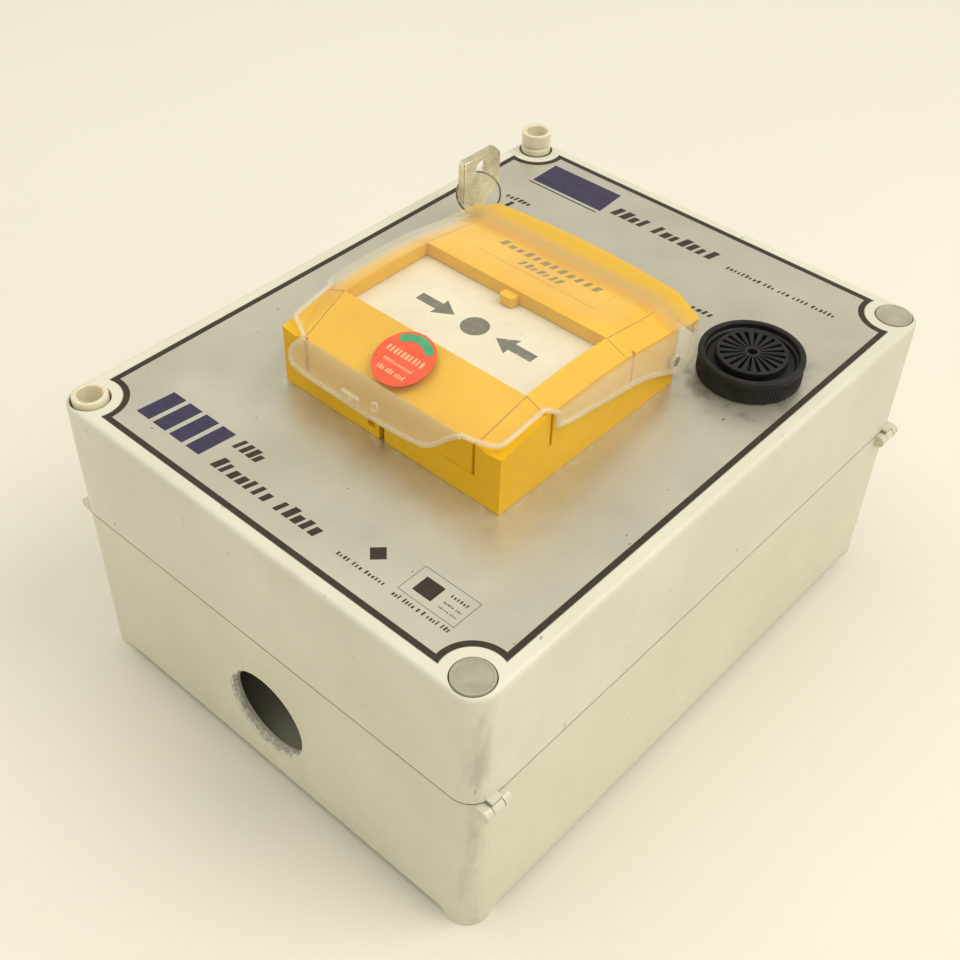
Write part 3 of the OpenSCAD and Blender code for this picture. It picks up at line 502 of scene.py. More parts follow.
ALUMINIUM = finish_of("bare_aluminium", (0.50, 0.51, 0.52), (0.62, 0.63, 0.64), 8, (0.3, 0.45),
                      0.5, 0.015, metallic=1.0, stretch=(1, 1, 0.1))
BLACK_PLASTIC = finish_of("black_plastic", (0.018, 0.018, 0.02), (0.03, 0.03, 0.032), 8,
                          (0.35, 0.5), 0.4, 0.012)
BLACK_SLEEVE = finish_of("black_sleeve", (0.012, 0.012, 0.03), (0.02, 0.02, 0.05), 6,
                         (0.18, 0.3), 0.8, 0.01)
BOARD = board_resist()
GREEN_PLASTIC = finish_of("green_plastic", (0.03, 0.22, 0.09), (0.05, 0.30, 0.12), 7,
                          (0.35, 0.5), 0.4, 0.01)
BLUE_PLASTIC = finish_of("blue_plastic", (0.03, 0.08, 0.30), (0.05, 0.12, 0.40), 7,
                         (0.3, 0.42), 0.4, 0.008)
RED_PLASTIC = finish_of("red_plastic", (0.45, 0.03, 0.02), (0.58, 0.05, 0.03), 5,
                        (0.3, 0.4), 0.4, 0.008)
LEAD_COVER = finish_of("lead_cover", (0.42, 0.025, 0.02), (0.52, 0.04, 0.03), 6,
                       (0.3, 0.42), 0.4, 0.008)
BATTERY_CASE = finish_of("battery_case", (0.05, 0.05, 0.055), (0.08, 0.08, 0.085), 14,
                         (0.42, 0.55), 0.7, 0.03)
SEAL = finish_of("foam_seal", (0.02, 0.02, 0.02), (0.035, 0.035, 0.035), 3, (0.75, 0.9),
                 0.5, 0.12)
FUSE_GLASS = clear_plastic("fuse_glass", (0.85, 0.88, 0.87), 0.35, (0.03, 0.08))
GREEN_LENS = finish_of("green_lens", (0.03, 0.30, 0.07), (0.05, 0.40, 0.10), 4, (0.1, 0.2),
                       0.8, 0.005, alpha=0.85, coat=0.5)
COVER_CLEAR = clear_plastic("cover_clear", (0.88, 0.85, 0.70), 0.05, (0.05, 0.14), 0.5)
COVER_LIP = clear_plastic("cover_lip", (1.0, 0.94, 0.72), 0.20, (0.06, 0.16), 0.5)
COVER_EDGE = clear_plastic("cover_edge", (0.97, 0.92, 0.74), 0.3, (0.08, 0.18), 0.62)
COVER_TINTED = tinted_plastic()
INK = printed_ink("label_ink", (0.034, 0.026, 0.018), (0.046, 0.036, 0.026))
BLUE_INK = printed_ink("blue_ink", (0.036, 0.030, 0.070), (0.050, 0.042, 0.092))
GREY_INK = printed_ink("element_ink", (0.12, 0.115, 0.095), (0.17, 0.165, 0.14), 0.8, (0.5, 0.48, 0.4))
FADED_INK = printed_ink("release_ink", (0.20, 0.16, 0.045), (0.28, 0.21, 0.055), 0.4, (0.60, 0.38, 0.04))
STICKER_RED = printed_ink("sticker_red", (0.80, 0.105, 0.045), (0.90, 0.14, 0.065))
STICKER_GREEN = printed_ink("sticker_green", (0.06, 0.36, 0.17), (0.09, 0.43, 0.21))
STICKER_CREAM = printed_ink("sticker_cream", (0.86, 0.45, 0.25), (0.92, 0.55, 0.32))

CAD_FINISH = (
    (BOX_PLASTIC, "base_shell"), (LID_PLASTIC, "lid_shell"), (LABEL_METAL, "label_plate"),
    (YELLOW, "call_point_tray call_point_frame"), (ELEMENT, "press_element"), (SEAL, "seal_strips"),
    (BRASS, "corner_sockets battery_tabs contact_tabs sounder_disc sounder_pins"),
    (STEEL, "hinge_pins board_screws terminal_screws fuse_clips battery_strap strap_screws "
            "tray_screws cover_pins lid_board_screws lock_cam"),
    (BOARD, "main_board lid_board"), (GREEN_PLASTIC, "terminal_blocks"), (BLUE_PLASTIC, "relays"),
    (BLACK_SLEEVE, "capacitors"), (FUSE_GLASS, "fuse"), (ALUMINIUM, "heat_sink"),
    (BLACK_PLASTIC, "board_chips ribbon_header micro_switch contact_block sounder_nut lamp_bezel "
                    "lid_header"),
    (BATTERY_CASE, "battery"), (LEAD_COVER, "battery_leads"), (RED_PLASTIC, "switch_plunger"),
    (NICKEL, "lock_body lock_nut lock_barrel key"), (WIRE, "key_ring"), (GREEN_LENS, "lamp_lens"),
    (SOUNDER_BLACK, "sounder_bezel sounder_body sounder_grille"), (COVER_CLEAR, "clear_cover"),
    (STICKER_RED, "cover_sticker"),
    (NYLON, "screw_top_left screw_bottom_left screw_top_right screw_bottom_right"),
    (CAP_NYLON, "cap_top_right cap_bottom_right"),
)
# Widths in mm of the rounded edges that the render adds to these CAD nodes
ROUNDED = {"call_point_frame": 0.45, "relays": 0.5, "battery": 0.9, "terminal_blocks": 0.25,
           "capacitors": 0.6, "ribbon_header": 0.25, "micro_switch": 0.3, "contact_block": 0.6,
           "heat_sink": 0.15, "battery_strap": 0.3, "board_chips": 0.2, "lock_body": 0.3,
           "key": 0.35, "press_element": 0.2, "lid_header": 0.2, "sounder_grille": 0.15}


def finish_cad_nodes():
    for material, nodes in CAD_FINISH:
        for node in nodes.split():
            NODES[node].data.materials.clear()
            NODES[node].data.materials.append(material)
    for node, width in ROUNDED.items():
        round_edges(NODES[node], width * MM)


# ---------- label print ----------

PRINT_RAISE = 0.03 * MM
BORDER_GAP = 0.05 * MM
BORDER_WIDTH = 2.0 * MM
SCALLOP_R = 9.8 * MM
# The gap between two groups of bars, as a share of one bar's place
WORD_GAP = 0.7


def label_border():
    """The printed line round the label, with a hollow corner round each lid screw."""
    screw = middle("screw_top_right")
    half_x, half_y = LABEL_HI.x, LABEL_HI.y

    def loop(inset):
        """One side of the line: each corner's arc in turn, joined by the straight sides."""
        hx, hy, r = half_x - inset, half_y - inset, SCALLOP_R + inset
        first = math.atan2(-math.sqrt(r * r - (hx - screw.x) ** 2), hx - screw.x)
        last = math.atan2(hy - screw.y, -math.sqrt(r * r - (hy - screw.y) ** 2))
        first += 2 * math.pi
        quarter = [(screw.x + r * math.cos(a), screw.y + r * math.sin(a))
                   for a in (first + (last - first) * k / 24 for k in range(25))]
        points = list(quarter)
        points += [(-x, y) for x, y in quarter[::-1]]
        points += [(-x, -y) for x, y in quarter]
        points += [(x, -y) for x, y in quarter[::-1]]
        return points

    bm = bmesh.new()
    top, low = LABEL_HI.z + PRINT_RAISE, LABEL_HI.z - PRINT_RAISE
    near_edge, far_edge = loop(BORDER_GAP), loop(BORDER_WIDTH)
    close_rings(bm, [[bm.verts.new((x, y, z)) for x, y in line] for line, z in
                     ((near_edge, top), (far_edge, top), (far_edge, low), (near_edge, low))])
    piece("label_border", bm, [INK], "lid")


def bar_row(bm, first, last, height, groups, slant, fill, seed, z=None, material=0, place=None):
    """A row of plain slanted bars in word-like groups, standing in for print. Positions are in mm."""
    chance = random.Random(seed)
    z = LABEL_HI.z if z is None else z
    places = sum(groups) + WORD_GAP * (len(groups) - 1)
    along_row = (Vector(last) - Vector(first)) / places
    up = Vector((-along_row.y, along_row.x)).normalized() * height
    lean = along_row.normalized() * height * slant
    at = Vector(first)
    for group in groups:
        for _ in range(group):
            tall = chance.choice((1.0, 1.0, 0.72, 0.72, 0.86))
            side = along_row * fill * chance.choice((0.8, 1.0, 1.15))
            corners = [at, at + side, at + side + (up + lean) * tall, at + (up + lean) * tall]
            slab(bm, [(p.x * MM, p.y * MM) for p in corners], z - PRINT_RAISE, z + PRINT_RAISE,
                 place, material)
            at = at + along_row
        at = at + along_row * WORD_GAP


def flat_shape(bm, corners, z=None):
    z = LABEL_HI.z if z is None else z
    slab(bm, [(x * MM, y * MM) for x, y in corners], z - PRINT_RAISE, z + PRINT_RAISE)


def flat_frame(bm, x0, x1, y0, y1, width):
    flat_shape(bm, rectangle(x0, x1, y0, y0 + width))
    flat_shape(bm, rectangle(x0, x1, y1 - width, y1))
    flat_shape(bm, rectangle(x0, x0 + width, y0 + width, y1 - width))
    flat_shape(bm, rectangle(x1 - width, x1, y0 + width, y1 - width))


# Rows of plain bars on the label, in mm: start, end, height, bars in each group, slant and fill
LABEL_ROWS = (
    ((-30.7, -89.2), (-19.4, -89.1), 4.4, (4,), 0.25, 0.66),
    ((-29.3, -98.6), (14.4, -98.2), 4.9, (7, 5), 0.25, 0.62),
    ((-29.4, 88.2), (15.5, 88.6), 5.4, (4, 7), 0.25, 0.66),
    ((21.6, 88.0), (64.6, 88.8), 1.9, (9, 3, 3, 4, 6), 0.12, 0.5),
    ((-64.2, 70.2), (-53.0, 70.8), 2.3, (6,), 0.25, 0.6),
    ((26.0, 60.4), (35.0, 60.4), 2.4, (4,), 0.25, 0.6),
    ((22.8, -98.4), (40.8, -97.9), 1.4, (4, 3, 6), 0.1, 0.5),
    ((43.9, -98.6), (64.2, -98.2), 1.5, (3, 4, 1, 1, 4, 3), 0.1, 0.5),
    ((56.0, -88.6), (62.4, -88.6), 1.1, (6,), 0, 0.5),
    ((56.0, -91.4), (62.4, -91.4), 0.7, (5, 3), 0, 0.5),
    ((56.0, -93.4), (62.4, -93.4), 0.6, (6, 4), 0, 0.5),
)


def label_print():
    """Generic bars and blocks where the panel carries print."""
    bm = bmesh.new()
    for seed, (first, last, height, groups, slant, fill) in enumerate(LABEL_ROWS, 2):
        bar_row(bm, first, last, height, groups, slant, fill, seed)
    flat_shape(bm, [(-60.6, 63.4), (-59.0, 63.4), (-58.4, 69.2), (-60.0, 69.2)])
    flat_shape(bm, rectangle(-64.8, -33.2, 84.6, 85.2))
    flat_shape(bm, [(27.9, -90.4), (31.1, -93.6), (34.3, -90.4), (31.1, -87.2)])
    flat_frame(bm, 43.6, 63.8, -95.8, -84.9, 0.14)
    flat_shape(bm, rectangle(46.6, 53.2, -93.4, -87.4))
    piece("label_print", bm, [INK], "lid")
    bm = bmesh.new()
    flat_shape(bm, [(-64.4, 86.4), (-32.6, 86.6), (-33.5, 100.4), (-64.7, 100.2)])
    for x0, x1 in ((-63.4, -57.6), (-55.8, -50.0), (-48.2, -42.4), (-40.6, -34.8)):
        flat_shape(bm, [(x0, -98.2), (x1, -98.2), (x1 + 1.3, -85.0), (x0 + 1.3, -85.0)])
    piece("label_blocks", bm, [BLUE_INK], "lid")


# ---------- call point ----------

# Heights of the call point's roof over the lid, at each place along Y
ROOF = in_mm((-57.3, 20.5), (-38.4, 27.4), (-30, 28.0), (-18, 28.3), (-2.8, 27.8), (5, 26.8),
             (14, 25.5), (25, 24.5), (34, 23.6))
CREASE_HW = 36 * MM
SIDE_SLOPE = 0.43
SEAM_LEAN = 1.8 * MM
SEAM_RAISE = 0.05 * MM
WINDOW_Y = (-38.4 * MM, -2.8 * MM)


def roof_z(x, y, lift=0.0):
    """Height of the call point's roof at a place, raised by lift. The sides flatten at the front."""
    fade = min(max((y - ROOF[0][0]) / (ROOF[1][0] - ROOF[0][0]), 0.0), 1.0)
    return LID_TOP + along(ROOF, y) + lift - SIDE_SLOPE * fade * max(0.0, abs(x - CP_X) - CREASE_HW)


def roof_strip(bm, points, width):
    """A thin strip lying on the roof along a line of (x, y) points."""
    for (x0, y0), (x1, y1) in zip(points, points[1:]):
        ahead = Vector((x1 - x0, y1 - y0)).normalized()
        side = Vector((-ahead.y, ahead.x)) * width / 2
        corners = [(x0 + side.x, y0 + side.y), (x0 - side.x, y0 - side.y),
                   (x1 - side.x, y1 - side.y), (x1 + side.x, y1 + side.y)]
        top = [bm.verts.new((x, y, roof_z(x, y, SEAM_RAISE))) for x, y in corners]
        low = [bm.verts.new((x, y, roof_z(x, y, -SEAM_RAISE))) for x, y in corners]
        bm.faces.new(top)
        bm.faces.new(low[::-1])
        for k in range(4):
            bm.faces.new((low[k], low[(k + 1) % 4], top[(k + 1) % 4], top[k]))


def roof_groove_shades():
    """Strips painted with the shade of the roof's grooves, which carry on from the window's corners to the
    call point's edges.
    """
    bm = bmesh.new()
    front, reach = CP_LO.y + 0.6 * MM, (CP_HI.x - CP_LO.x) / 2 - 0.6 * MM
    for s in (-1, 1):
        crease = CP_X + s * CREASE_HW
        roof_strip(bm, [(crease - s * SEAM_LEAN, front), (crease, WINDOW_Y[0] - 0.2 * MM)], 0.3 * MM)
        roof_strip(bm, [(crease, WINDOW_Y[1] + 0.2 * MM), (crease, 5 * MM), (crease, 14 * MM),
                        (crease, 21 * MM)], 0.22 * MM)
        for y in WINDOW_Y:
            roof_strip(bm, [(crease, y), (CP_X + s * reach, y)], 0.28 * MM)
    piece("roof_groove_shades", bm, [GROOVE_SHADE_YELLOW], "lid")


def release_label():
    """A thin printed label on the roof behind the window, bent over the roof's crease."""
    x0, x1 = -23 * MM, 24.5 * MM
    rows = (7.5 * MM, 14 * MM, 22.3 * MM)
    bm = bmesh.new()
    for lift, up in ((0.16 * MM, True), (-0.02 * MM, False)):
        for y0, y1 in zip(rows, rows[1:]):
            quad = [bm.verts.new((x, y, roof_z(x, y, lift))) for x, y in
                    ((x0, y0), (x1, y0), (x1, y1), (x0, y1))]
            bm.faces.new(quad if up else quad[::-1])
    bmesh.ops.remove_doubles(bm, verts=bm.verts, dist=1e-7)
    edges = [e for e in bm.edges if len(e.link_faces) == 1]
    bmesh.ops.bridge_loops(bm, edges=edges)
    piece("release_label", bm, [YELLOW], "lid")
    bm = bmesh.new()
    bar_row(bm, (-20.0, 15.6), (20.5, 15.6), 3.1, (12,), 0.22, 0.55, 21, z=0.0)
    bar_row(bm, (-7.5, 10.0), (9.5, 10.0), 3.1, (7,), 0.22, 0.55, 22, z=0.0)
    for v in bm.verts:
        v.co.z = roof_z(v.co.x, v.co.y, 0.17 * MM + v.co.z)
    piece("release_print", bm, [FADED_INK], "lid")


def element_print():
    """Two arrows and a dot on the press element."""
    bm = bmesh.new()
    z = ELEMENT_TOP
    for tip, tail, s in ((-6.3, -20.8, 1), (10.2, 24.9, -1)):
        neck, head = tip - s * 6.2, 4.1
        flat_shape(bm, [(tail, -21.9), (neck, -21.9), (neck - s * 0.2, -20.1 - head), (tip, -20.1),
                        (neck - s * 0.2, -20.1 + head), (neck, -18.3), (tail, -18.3)], z)
    slab(bm, circle(1.9 * MM, -20.1 * MM, 4.5 * MM), z - PRINT_RAISE, z + PRINT_RAISE)
    piece("element_print", bm, [GREY_INK], "element")


# ---------- clear cover ----------

COVER_LIFT = 1.7 * MM
COVER_THICK = 1.5 * MM
BEAD_R = 0.78 * MM
COVER_HW = (COVER_HI.x - COVER_LO.x) / 2 - 0.8 * MM
COVER_FRONT = -58.1 * MM
STEP_Y = -38.6 * MM
STEP_LONG = 3.2 * MM
ARC_Y = -215 * MM
ARC_R = 250 * MM
REAR_LIP_Z = LID_TOP + 17.4 * MM
CLIP_Y, CLIP_Z = -61.4 * MM, LID_TOP + 13.7 * MM

# Half the plate's width at each place along Y ahead of the step: a cut corner left, a round one right
LEFT_HALF = in_mm((-58.1, 33.0), (-57.3, 34.2), (-56, 36.4), (-54.8, 39.0), (-53.8, 41.2),
                  (-52.6, 42.2), (-38.6, 42.4))
RIGHT_HALF = in_mm((-58.1, 29.6), (-57.7, 33.2), (-57, 36.6), (-56, 39.3), (-55, 40.8),
                   (-53.8, 41.4), (-49.7, 41.8), (-38.6, 42.4))


def cover_half_width(y, side):
    """Half the clear plate's width: shaped front corners, then a step out to the side walls."""
    front = along(LEFT_HALF if side < 0 else RIGHT_HALF, min(y, STEP_Y))
    return front + (COVER_HW - front) * smooth_step((y - STEP_Y) / STEP_LONG)


# Lower edge of the front lip over the lid, along X from the call point's middle
LIP_EDGE = in_mm((-34, 12.9), (-31, 11.8), (-27, 11.2), (-10, 10.9), (-2.7, 10.8), (7, 11.2),
                 (13.7, 11.9), (16.8, 12.3), (18.8, 13.0), (20.7, 14.1), (22.6, 15.8), (24.5, 17.7),
                 (27, 20.3), (29.6, 21.9))
LIP_FLARE = 4.4 * MM
# Lower edge of the side walls over the lid, along Y
WALL_EDGE = in_mm((-38, 21.0), (-34.5, 20.2), (-31.1, 19.1), (-22, 17.9), (-12.6, 16.3), (-0.5, 14.7),
                  (7.2, 12.9), (12.7, 10.8), (18.2, 8.3), (24.2, 5.4), (26.4, 4.9), (28.4, 5.6),
                  (29.8, 7.2), (30.6, 9.4))
# The sheet's rows, in mm behind its front edge: close together at the front corners and at the step
SHEET_ROWS = (0, 0.4, 1.1, 2.1, 3.3, 4.3, 5.5, 8, 11, 15, 19.5, 20.3, 21.1, 21.9, 22.7, 24, 28, 32, 36,
              40.1, 44, 48, 52, 55.3, 59, 63, 67.5, 72, 76, 79.6)
HALF_COLUMNS, END_COLUMNS = 10, 4


def cover_sheet():
    """The clear cover as one bent sheet: plate, side walls, wavy front lip and rear lip."""
    bm = bmesh.new()
    rows = [COVER_FRONT + d * MM for d in SHEET_ROWS]
    last = rows[-1]
    columns = 2 * (END_COLUMNS + HALF_COLUMNS) + 1

    def station(k, y):
        """x of column k at y: columns out to the creases, then columns out to the edge."""
        across = k - END_COLUMNS - HALF_COLUMNS
        side = -1 if across < 0 else 1
        half = cover_half_width(y, side)
        crease = min(CREASE_HW, half - 1.0 * MM)
        if abs(across) <= HALF_COLUMNS:
            return crease * across / HALF_COLUMNS
        return side * (crease + (half - crease) * (abs(across) - HALF_COLUMNS) / END_COLUMNS)

    def plate_point(x, y):
        return bm.verts.new((CP_X + x, y, roof_z(CP_X + x, y, COVER_LIFT)))

    grid = [[plate_point(station(k, y), y) for k in range(columns)] for y in rows]
    for t in (0.2, 0.4, 0.6, 0.8, 0.93, 1.0):
        line = []
        for x in (station(k, last) for k in range(columns)):
            end = ARC_Y + math.sqrt(ARC_R ** 2 - x * x) - COVER_THICK / 2
            line.append(plate_point(x, last + (end - last) * t))
        grid.append(line)
    for a, b in zip(grid, grid[1:]):
        for k in range(columns - 1):
            face = bm.faces.new((a[k], a[k + 1], b[k + 1], b[k]))
            face.material_index = 2 if b[k].co.y > TINT_Y[0] else 0

    def strip(tops, rung_under, material):
        """Hangs a strip from a line of points, and returns the places along each of its rungs."""
        rungs = [[top] + [bm.verts.new(at) for at in rung_under(top.co)] for top in tops]
        for a, b in zip(rungs, rungs[1:]):
            for j in range(len(a) - 1):
                bm.faces.new((a[j], a[j + 1], b[j + 1], b[j])).material_index = material
        return [[v.co.copy() for v in rung] for rung in rungs]

    def wall(top):
        foot = LID_TOP + along(WALL_EDGE, min(top.y, WALL_EDGE[-1][0]))
        return [(top.x, top.y, top.z + (foot - top.z) * t) for t in (0.2, 0.5, 0.8, 1.0)]

    def front_lip(top):
        x = top.x - CP_X
        foot = min(LID_TOP + along(LIP_EDGE, x), top.z - 0.6 * MM)
        flare = LIP_FLARE * min(max((-x - 18 * MM) / (14 * MM), 0.0), 1.0)
        points = []
        for t in (0.12, 0.3, 0.55, 0.8, 1.0):
            z = top.z + (foot - top.z) * t
            drop = (top.z - z) / MM
            y = top.y - (0.9 * (1 - math.exp(-drop / 1.2)) + 0.17 * drop) * MM
            points.append((top.x - flare * math.sin(t * 2.2), y, z))
        return points

    def rear_lip(top):
        return [(top.x, top.y, top.z + (REAR_LIP_Z - top.z) * t) for t in (0.3, 0.65, 1.0)]

    def edge(rungs):
        """Down the first rung, along the strip's lower edge and up the last rung."""
        return rungs[0] + [rung[-1] for rung in rungs[1:]] + rungs[-1][-2:0:-1]

    beads = []
    for column in (0, columns - 1):
        side = [line[column] for line in grid]
        ahead = [v.co.copy() for v in side if v.co.y < STEP_Y + STEP_LONG]
        beads.append(ahead + edge(strip(side[len(ahead):], wall, 1)))
    beads.append(edge(strip(grid[0], front_lip, 1)))
    rear = strip(grid[-1], rear_lip, 2)
    thing = piece("cover_sheet", bm, [COVER_CLEAR, COVER_LIP, COVER_TINTED], "cover", sharp=60,
                  replaces=("clear_cover",))
    thick = thing.modifiers.new("thickness", "SOLIDIFY")
    thick.thickness = COVER_THICK
    thick.offset = 0
    thick.use_even_offset = True
    bm = bmesh.new()
    for path in beads:
        spaced = [path[0]]
        for point in path[1:]:
            if (point - spaced[-1]).length > 0.35 * MM:
                spaced.append(point)
        tube(bm, spaced, BEAD_R, 10)
    tube(bm, [rung[0] + Vector((0, 0, 0.35 * MM)) for rung in rear], BEAD_R / 2, 8)
    piece("cover_rim", bm, [COVER_EDGE], "cover", sharp=70)
    bm = bmesh.new()
    tube(bm, [rung[-1] for rung in rear], BEAD_R, 10)
    piece("cover_rear_rim", bm, [COVER_TINTED], "cover", sharp=70)


def cover_details():
    """The cover's pivot bosses, and the clip and dimple moulded on its lip."""
    bm = bmesh.new()
    pivot = middle("cover_pins")
    boss = near(0, 0, (1.75, -0.5), (2.5, -0.5), (2.6, 0.3), (2.3, 0.55), (1.75, 0.5))
    for s in (-1, 1):
        at = Matrix.Translation((CP_X + s * (COVER_HW + 0.2 * MM), pivot.y, pivot.z))
        revolve(bm, boss, 40, closed=True, place=at @ Matrix.Rotation(math.pi / 2, 4, "Y"))
    for x0, x1, z0, z1 in ((-14.4, -13.6, -1.6, 1.3), (-8.0, -7.2, -1.6, 1.3), (-14.4, -7.2, 1.0, 1.6),
                           (-12.0, -9.8, -0.9, 0.3)):
        bar = rectangle(CP_X + x0 * MM, CP_X + x1 * MM, CLIP_Y - 0.3 * MM, CLIP_Y + 1.0 * MM)
        slab(bm, bar, CLIP_Z + z0 * MM, CLIP_Z + z1 * MM)
    at = Matrix.Translation((CP_X - 1.6 * MM, -60.6 * MM, LID_TOP + 15.2 * MM))
    dimple = near(0, 0, (0.9, -0.6), (1.6, -0.6), (1.6, 0.35), (1.1, 0.45))
    revolve(bm, dimple, 32, closed=True, place=at @ Matrix.Rotation(math.radians(80), 4, "X"))
    piece("cover_details", bm, [COVER_EDGE], "cover", bevel=0.18 * MM)


def sticker_print():
    """Generic print on the round sticker: a green band and plain bars."""
    centre = (STICKER_LO + STICKER_HI) / 2
    slope = math.atan2(ROOF[1][1] - ROOF[0][1], ROOF[1][0] - ROOF[0][0])
    place = Matrix.Translation(centre) @ Matrix.Rotation(slope, 4, "X")
    face = 0.075 * MM
    bm = bmesh.new()
    band = circle(0, 0, 8.8 * MM, 24, math.radians(40), math.radians(140))
    band += circle(0, 0, 6.2 * MM, 24, math.radians(140), math.radians(40))
    slab(bm, band, face - PRINT_RAISE, face + PRINT_RAISE, place, 0)
    rows = (((-7.2, 0.0), (7.2, 0.0), 2.0, (10,)), ((-5.6, -3.0), (5.8, -3.0), 1.0, (14,)),
            ((-5.4, -6.2), (5.2, -6.2), 1.6, (3, 3, 4)))
    for row, (first, last, tall, groups) in enumerate(rows):
        bar_row(bm, first, last, tall, groups, 0.1, 0.5, 31 + row, face, 1, place)
    piece("sticker_print", bm, [STICKER_GREEN, STICKER_CREAM], "cover")


# ---------- sounder ----------

RIB_COUNT = 96
RIB_DEPTH = 0.30 * MM
SPOKES = 20


def sounder_ring():
    """The ribbed ring: a smooth band over fine upright ribs, and a stepped channel inside."""
    outer, inner = (BEZEL_HI.x - BEZEL_LO.x) / 2, 13.9 * MM
    low, top = BEZEL_LO.z, BEZEL_HI.z

    def ribbed(r, height, k):
        in_ribs = low + 0.4 * MM < height < top - 2.1 * MM and r > outer - 0.6 * MM
        return r - RIB_DEPTH if in_ribs and k % 4 in (0, 3) else r

    profile = [(inner, low)]
    profile += near(inner, top, (0, -2.4), (0.15, -2.2), (0.75, -1.9), (0.85, -0.45), (1.15, -0.08),
                    (1.4, 0))
    profile += near(outer, top, (-0.9, 0), (-0.42, -0.12), (-0.12, -0.42), (0, -0.9), (0, -1.9),
                    (-0.1, -2.0), (-0.15, -2.3))
    profile += near(outer, low, (-0.15, 0.5), (-0.3, 0.15), (-0.5, 0))
    at = middle("sounder_bezel")
    bm = bmesh.new()
    revolve(bm, profile, RIB_COUNT * 4, closed=True, place=Matrix.Translation((at.x, at.y, 0)),
            radius=ribbed)
    piece("sounder_ring", bm, [SOUNDER_BLACK], "lid", sharp=28, replaces=("sounder_bezel",))


def grille_face():
    """The grille: a hub and rim joined by spokes that widen outwards, over a solid floor."""
    at = middle("sounder_grille")
    low, high = GRILLE_LO.z, GRILLE_HI.z
    rim = (GRILLE_HI.x - GRILLE_LO.x) / 2
    place = Matrix.Translation((at.x, at.y, 0))
    bm = bmesh.new()
    band = near(rim, low, (-1.25, 0), (-0.05, 0), (0, 0.1))
    band += near(rim, high, (0, -0.35), (-0.3, -0.05), (-0.6, 0), (-1.05, 0), (-1.25, -0.2))
    revolve(bm, band, 96, closed=True, place=place)
    hub = near(0, low, (1.45, 0), (2.7, 0))
    hub += near(0, high, (2.7, -0.15), (2.55, 0), (1.65, 0), (1.45, -0.2))
    revolve(bm, hub, 48, closed=True, place=place)
    ground = [(0, low)] + near(rim, low, (-1.1, 0), (-1.1, 0.9)) + near(0, low, (0, 0.9))
    revolve(bm, ground, 64, place=place)
    spoke = near(0, 0, (2.5, -0.26)) + near(rim, 0, (-1.15, -0.92), (-1.15, 0.92)) + near(0, 0, (2.5, 0.26))
    for k in range(SPOKES):
        turn = place @ Matrix.Rotation(2 * math.pi * k / SPOKES, 4, "Z")
        slab(bm, spoke, low + 0.2 * MM, high - 0.12 * MM, turn)
    piece("grille_face", bm, [SOUNDER_BLACK], "lid", bevel=0.08 * MM, replaces=("sounder_grille",))


# ---------- screws, key and ring ----------

SHANK_R = 2.6 * MM
RING_R = 7.7 * MM
WIRE_R = 0.32 * MM
WIRE_TURNS = 2.06


def turned_piece(node, name, profile, material):
    """A round piece about a node's upright axis, in that node's place."""
    at = middle(node)
    bm = bmesh.new()
    revolve(bm, profile, 72, place=Matrix.Translation((at.x, at.y, 0)))
    piece(name, bm, [material], body_of_node(node), replaces=(node,))


def ring_screws():
    """Lid screws: a hollow ring head with a necked waist, over a long shank."""
    for node in ("screw_top_left", "screw_bottom_left", "screw_top_right", "screw_bottom_right"):
        low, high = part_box(node)
        head, top = (high.x - low.x) / 2, high.z
        profile = [(0, low.z)] + near(SHANK_R, low.z, (-0.5, 0), (0, 0.6)) + near(SHANK_R, top, (0, -8.4))
        profile += near(head, top, (-0.3, -8.4), (0, -8.1), (0, -6.1), (-0.35, -5.75), (-0.8, -5.6),
                        (-0.8, -4.95), (-0.3, -4.75), (0, -4.4), (0, -0.45), (-0.15, -0.12), (-0.45, 0),
                        (-1.25, 0), (-1.6, -0.25), (-1.75, -1.0), (-2.0, -3.2), (-2.2, -6.0))
        profile += near(0, top, (0.9, -6.1), (0, -6.1))
        turned_piece(node, node + "_ring", profile, NYLON)


def screw_caps():
    """Flush caps: a thin raised rim round a slightly dished face."""
    for node in ("cap_top_right", "cap_bottom_right"):
        low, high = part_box(node)
        r, top = (high.x - low.x) / 2, high.z
        profile = near(0, low.z, (0, 0), (3.3, 0)) + near(0, top, (3.3, -1.6))
        profile += near(r, top, (-0.1, -1.6), (0, -1.5), (0, -0.35), (-0.12, -0.08), (-0.35, 0),
                        (-0.7, -0.02), (-0.95, -0.22), (-1.3, -0.28))
        turned_piece(node, node + "_disc", profile + near(0, top, (0, -0.34)), CAP_NYLON)


def split_ring():
    """A split ring of two turns of wire through the key's bow."""
    centre = middle("key_ring")
    turn = Matrix.Rotation(math.radians(38.5), 3, "Z") @ Matrix.Rotation(math.radians(-16), 3, "X")
    across, down, out = turn @ Vector((1, 0, 0)), turn @ Vector((0, 0, 1)), turn @ Vector((0, 1, 0))
    path = []
    count = 160
    for t in (k / count for k in range(count + 1)):
        a = 2 * math.pi * WIRE_TURNS * t + 0.6
        offset = out * (t - 0.5) * 0.92 * MM
        path.append(centre + RING_R * (math.cos(a) * across + math.sin(a) * down) + offset)
    bm = bmesh.new()
    tube(bm, path, WIRE_R)
    piece("split_ring", bm, [WIRE], "key_ring", replaces=("key_ring",))


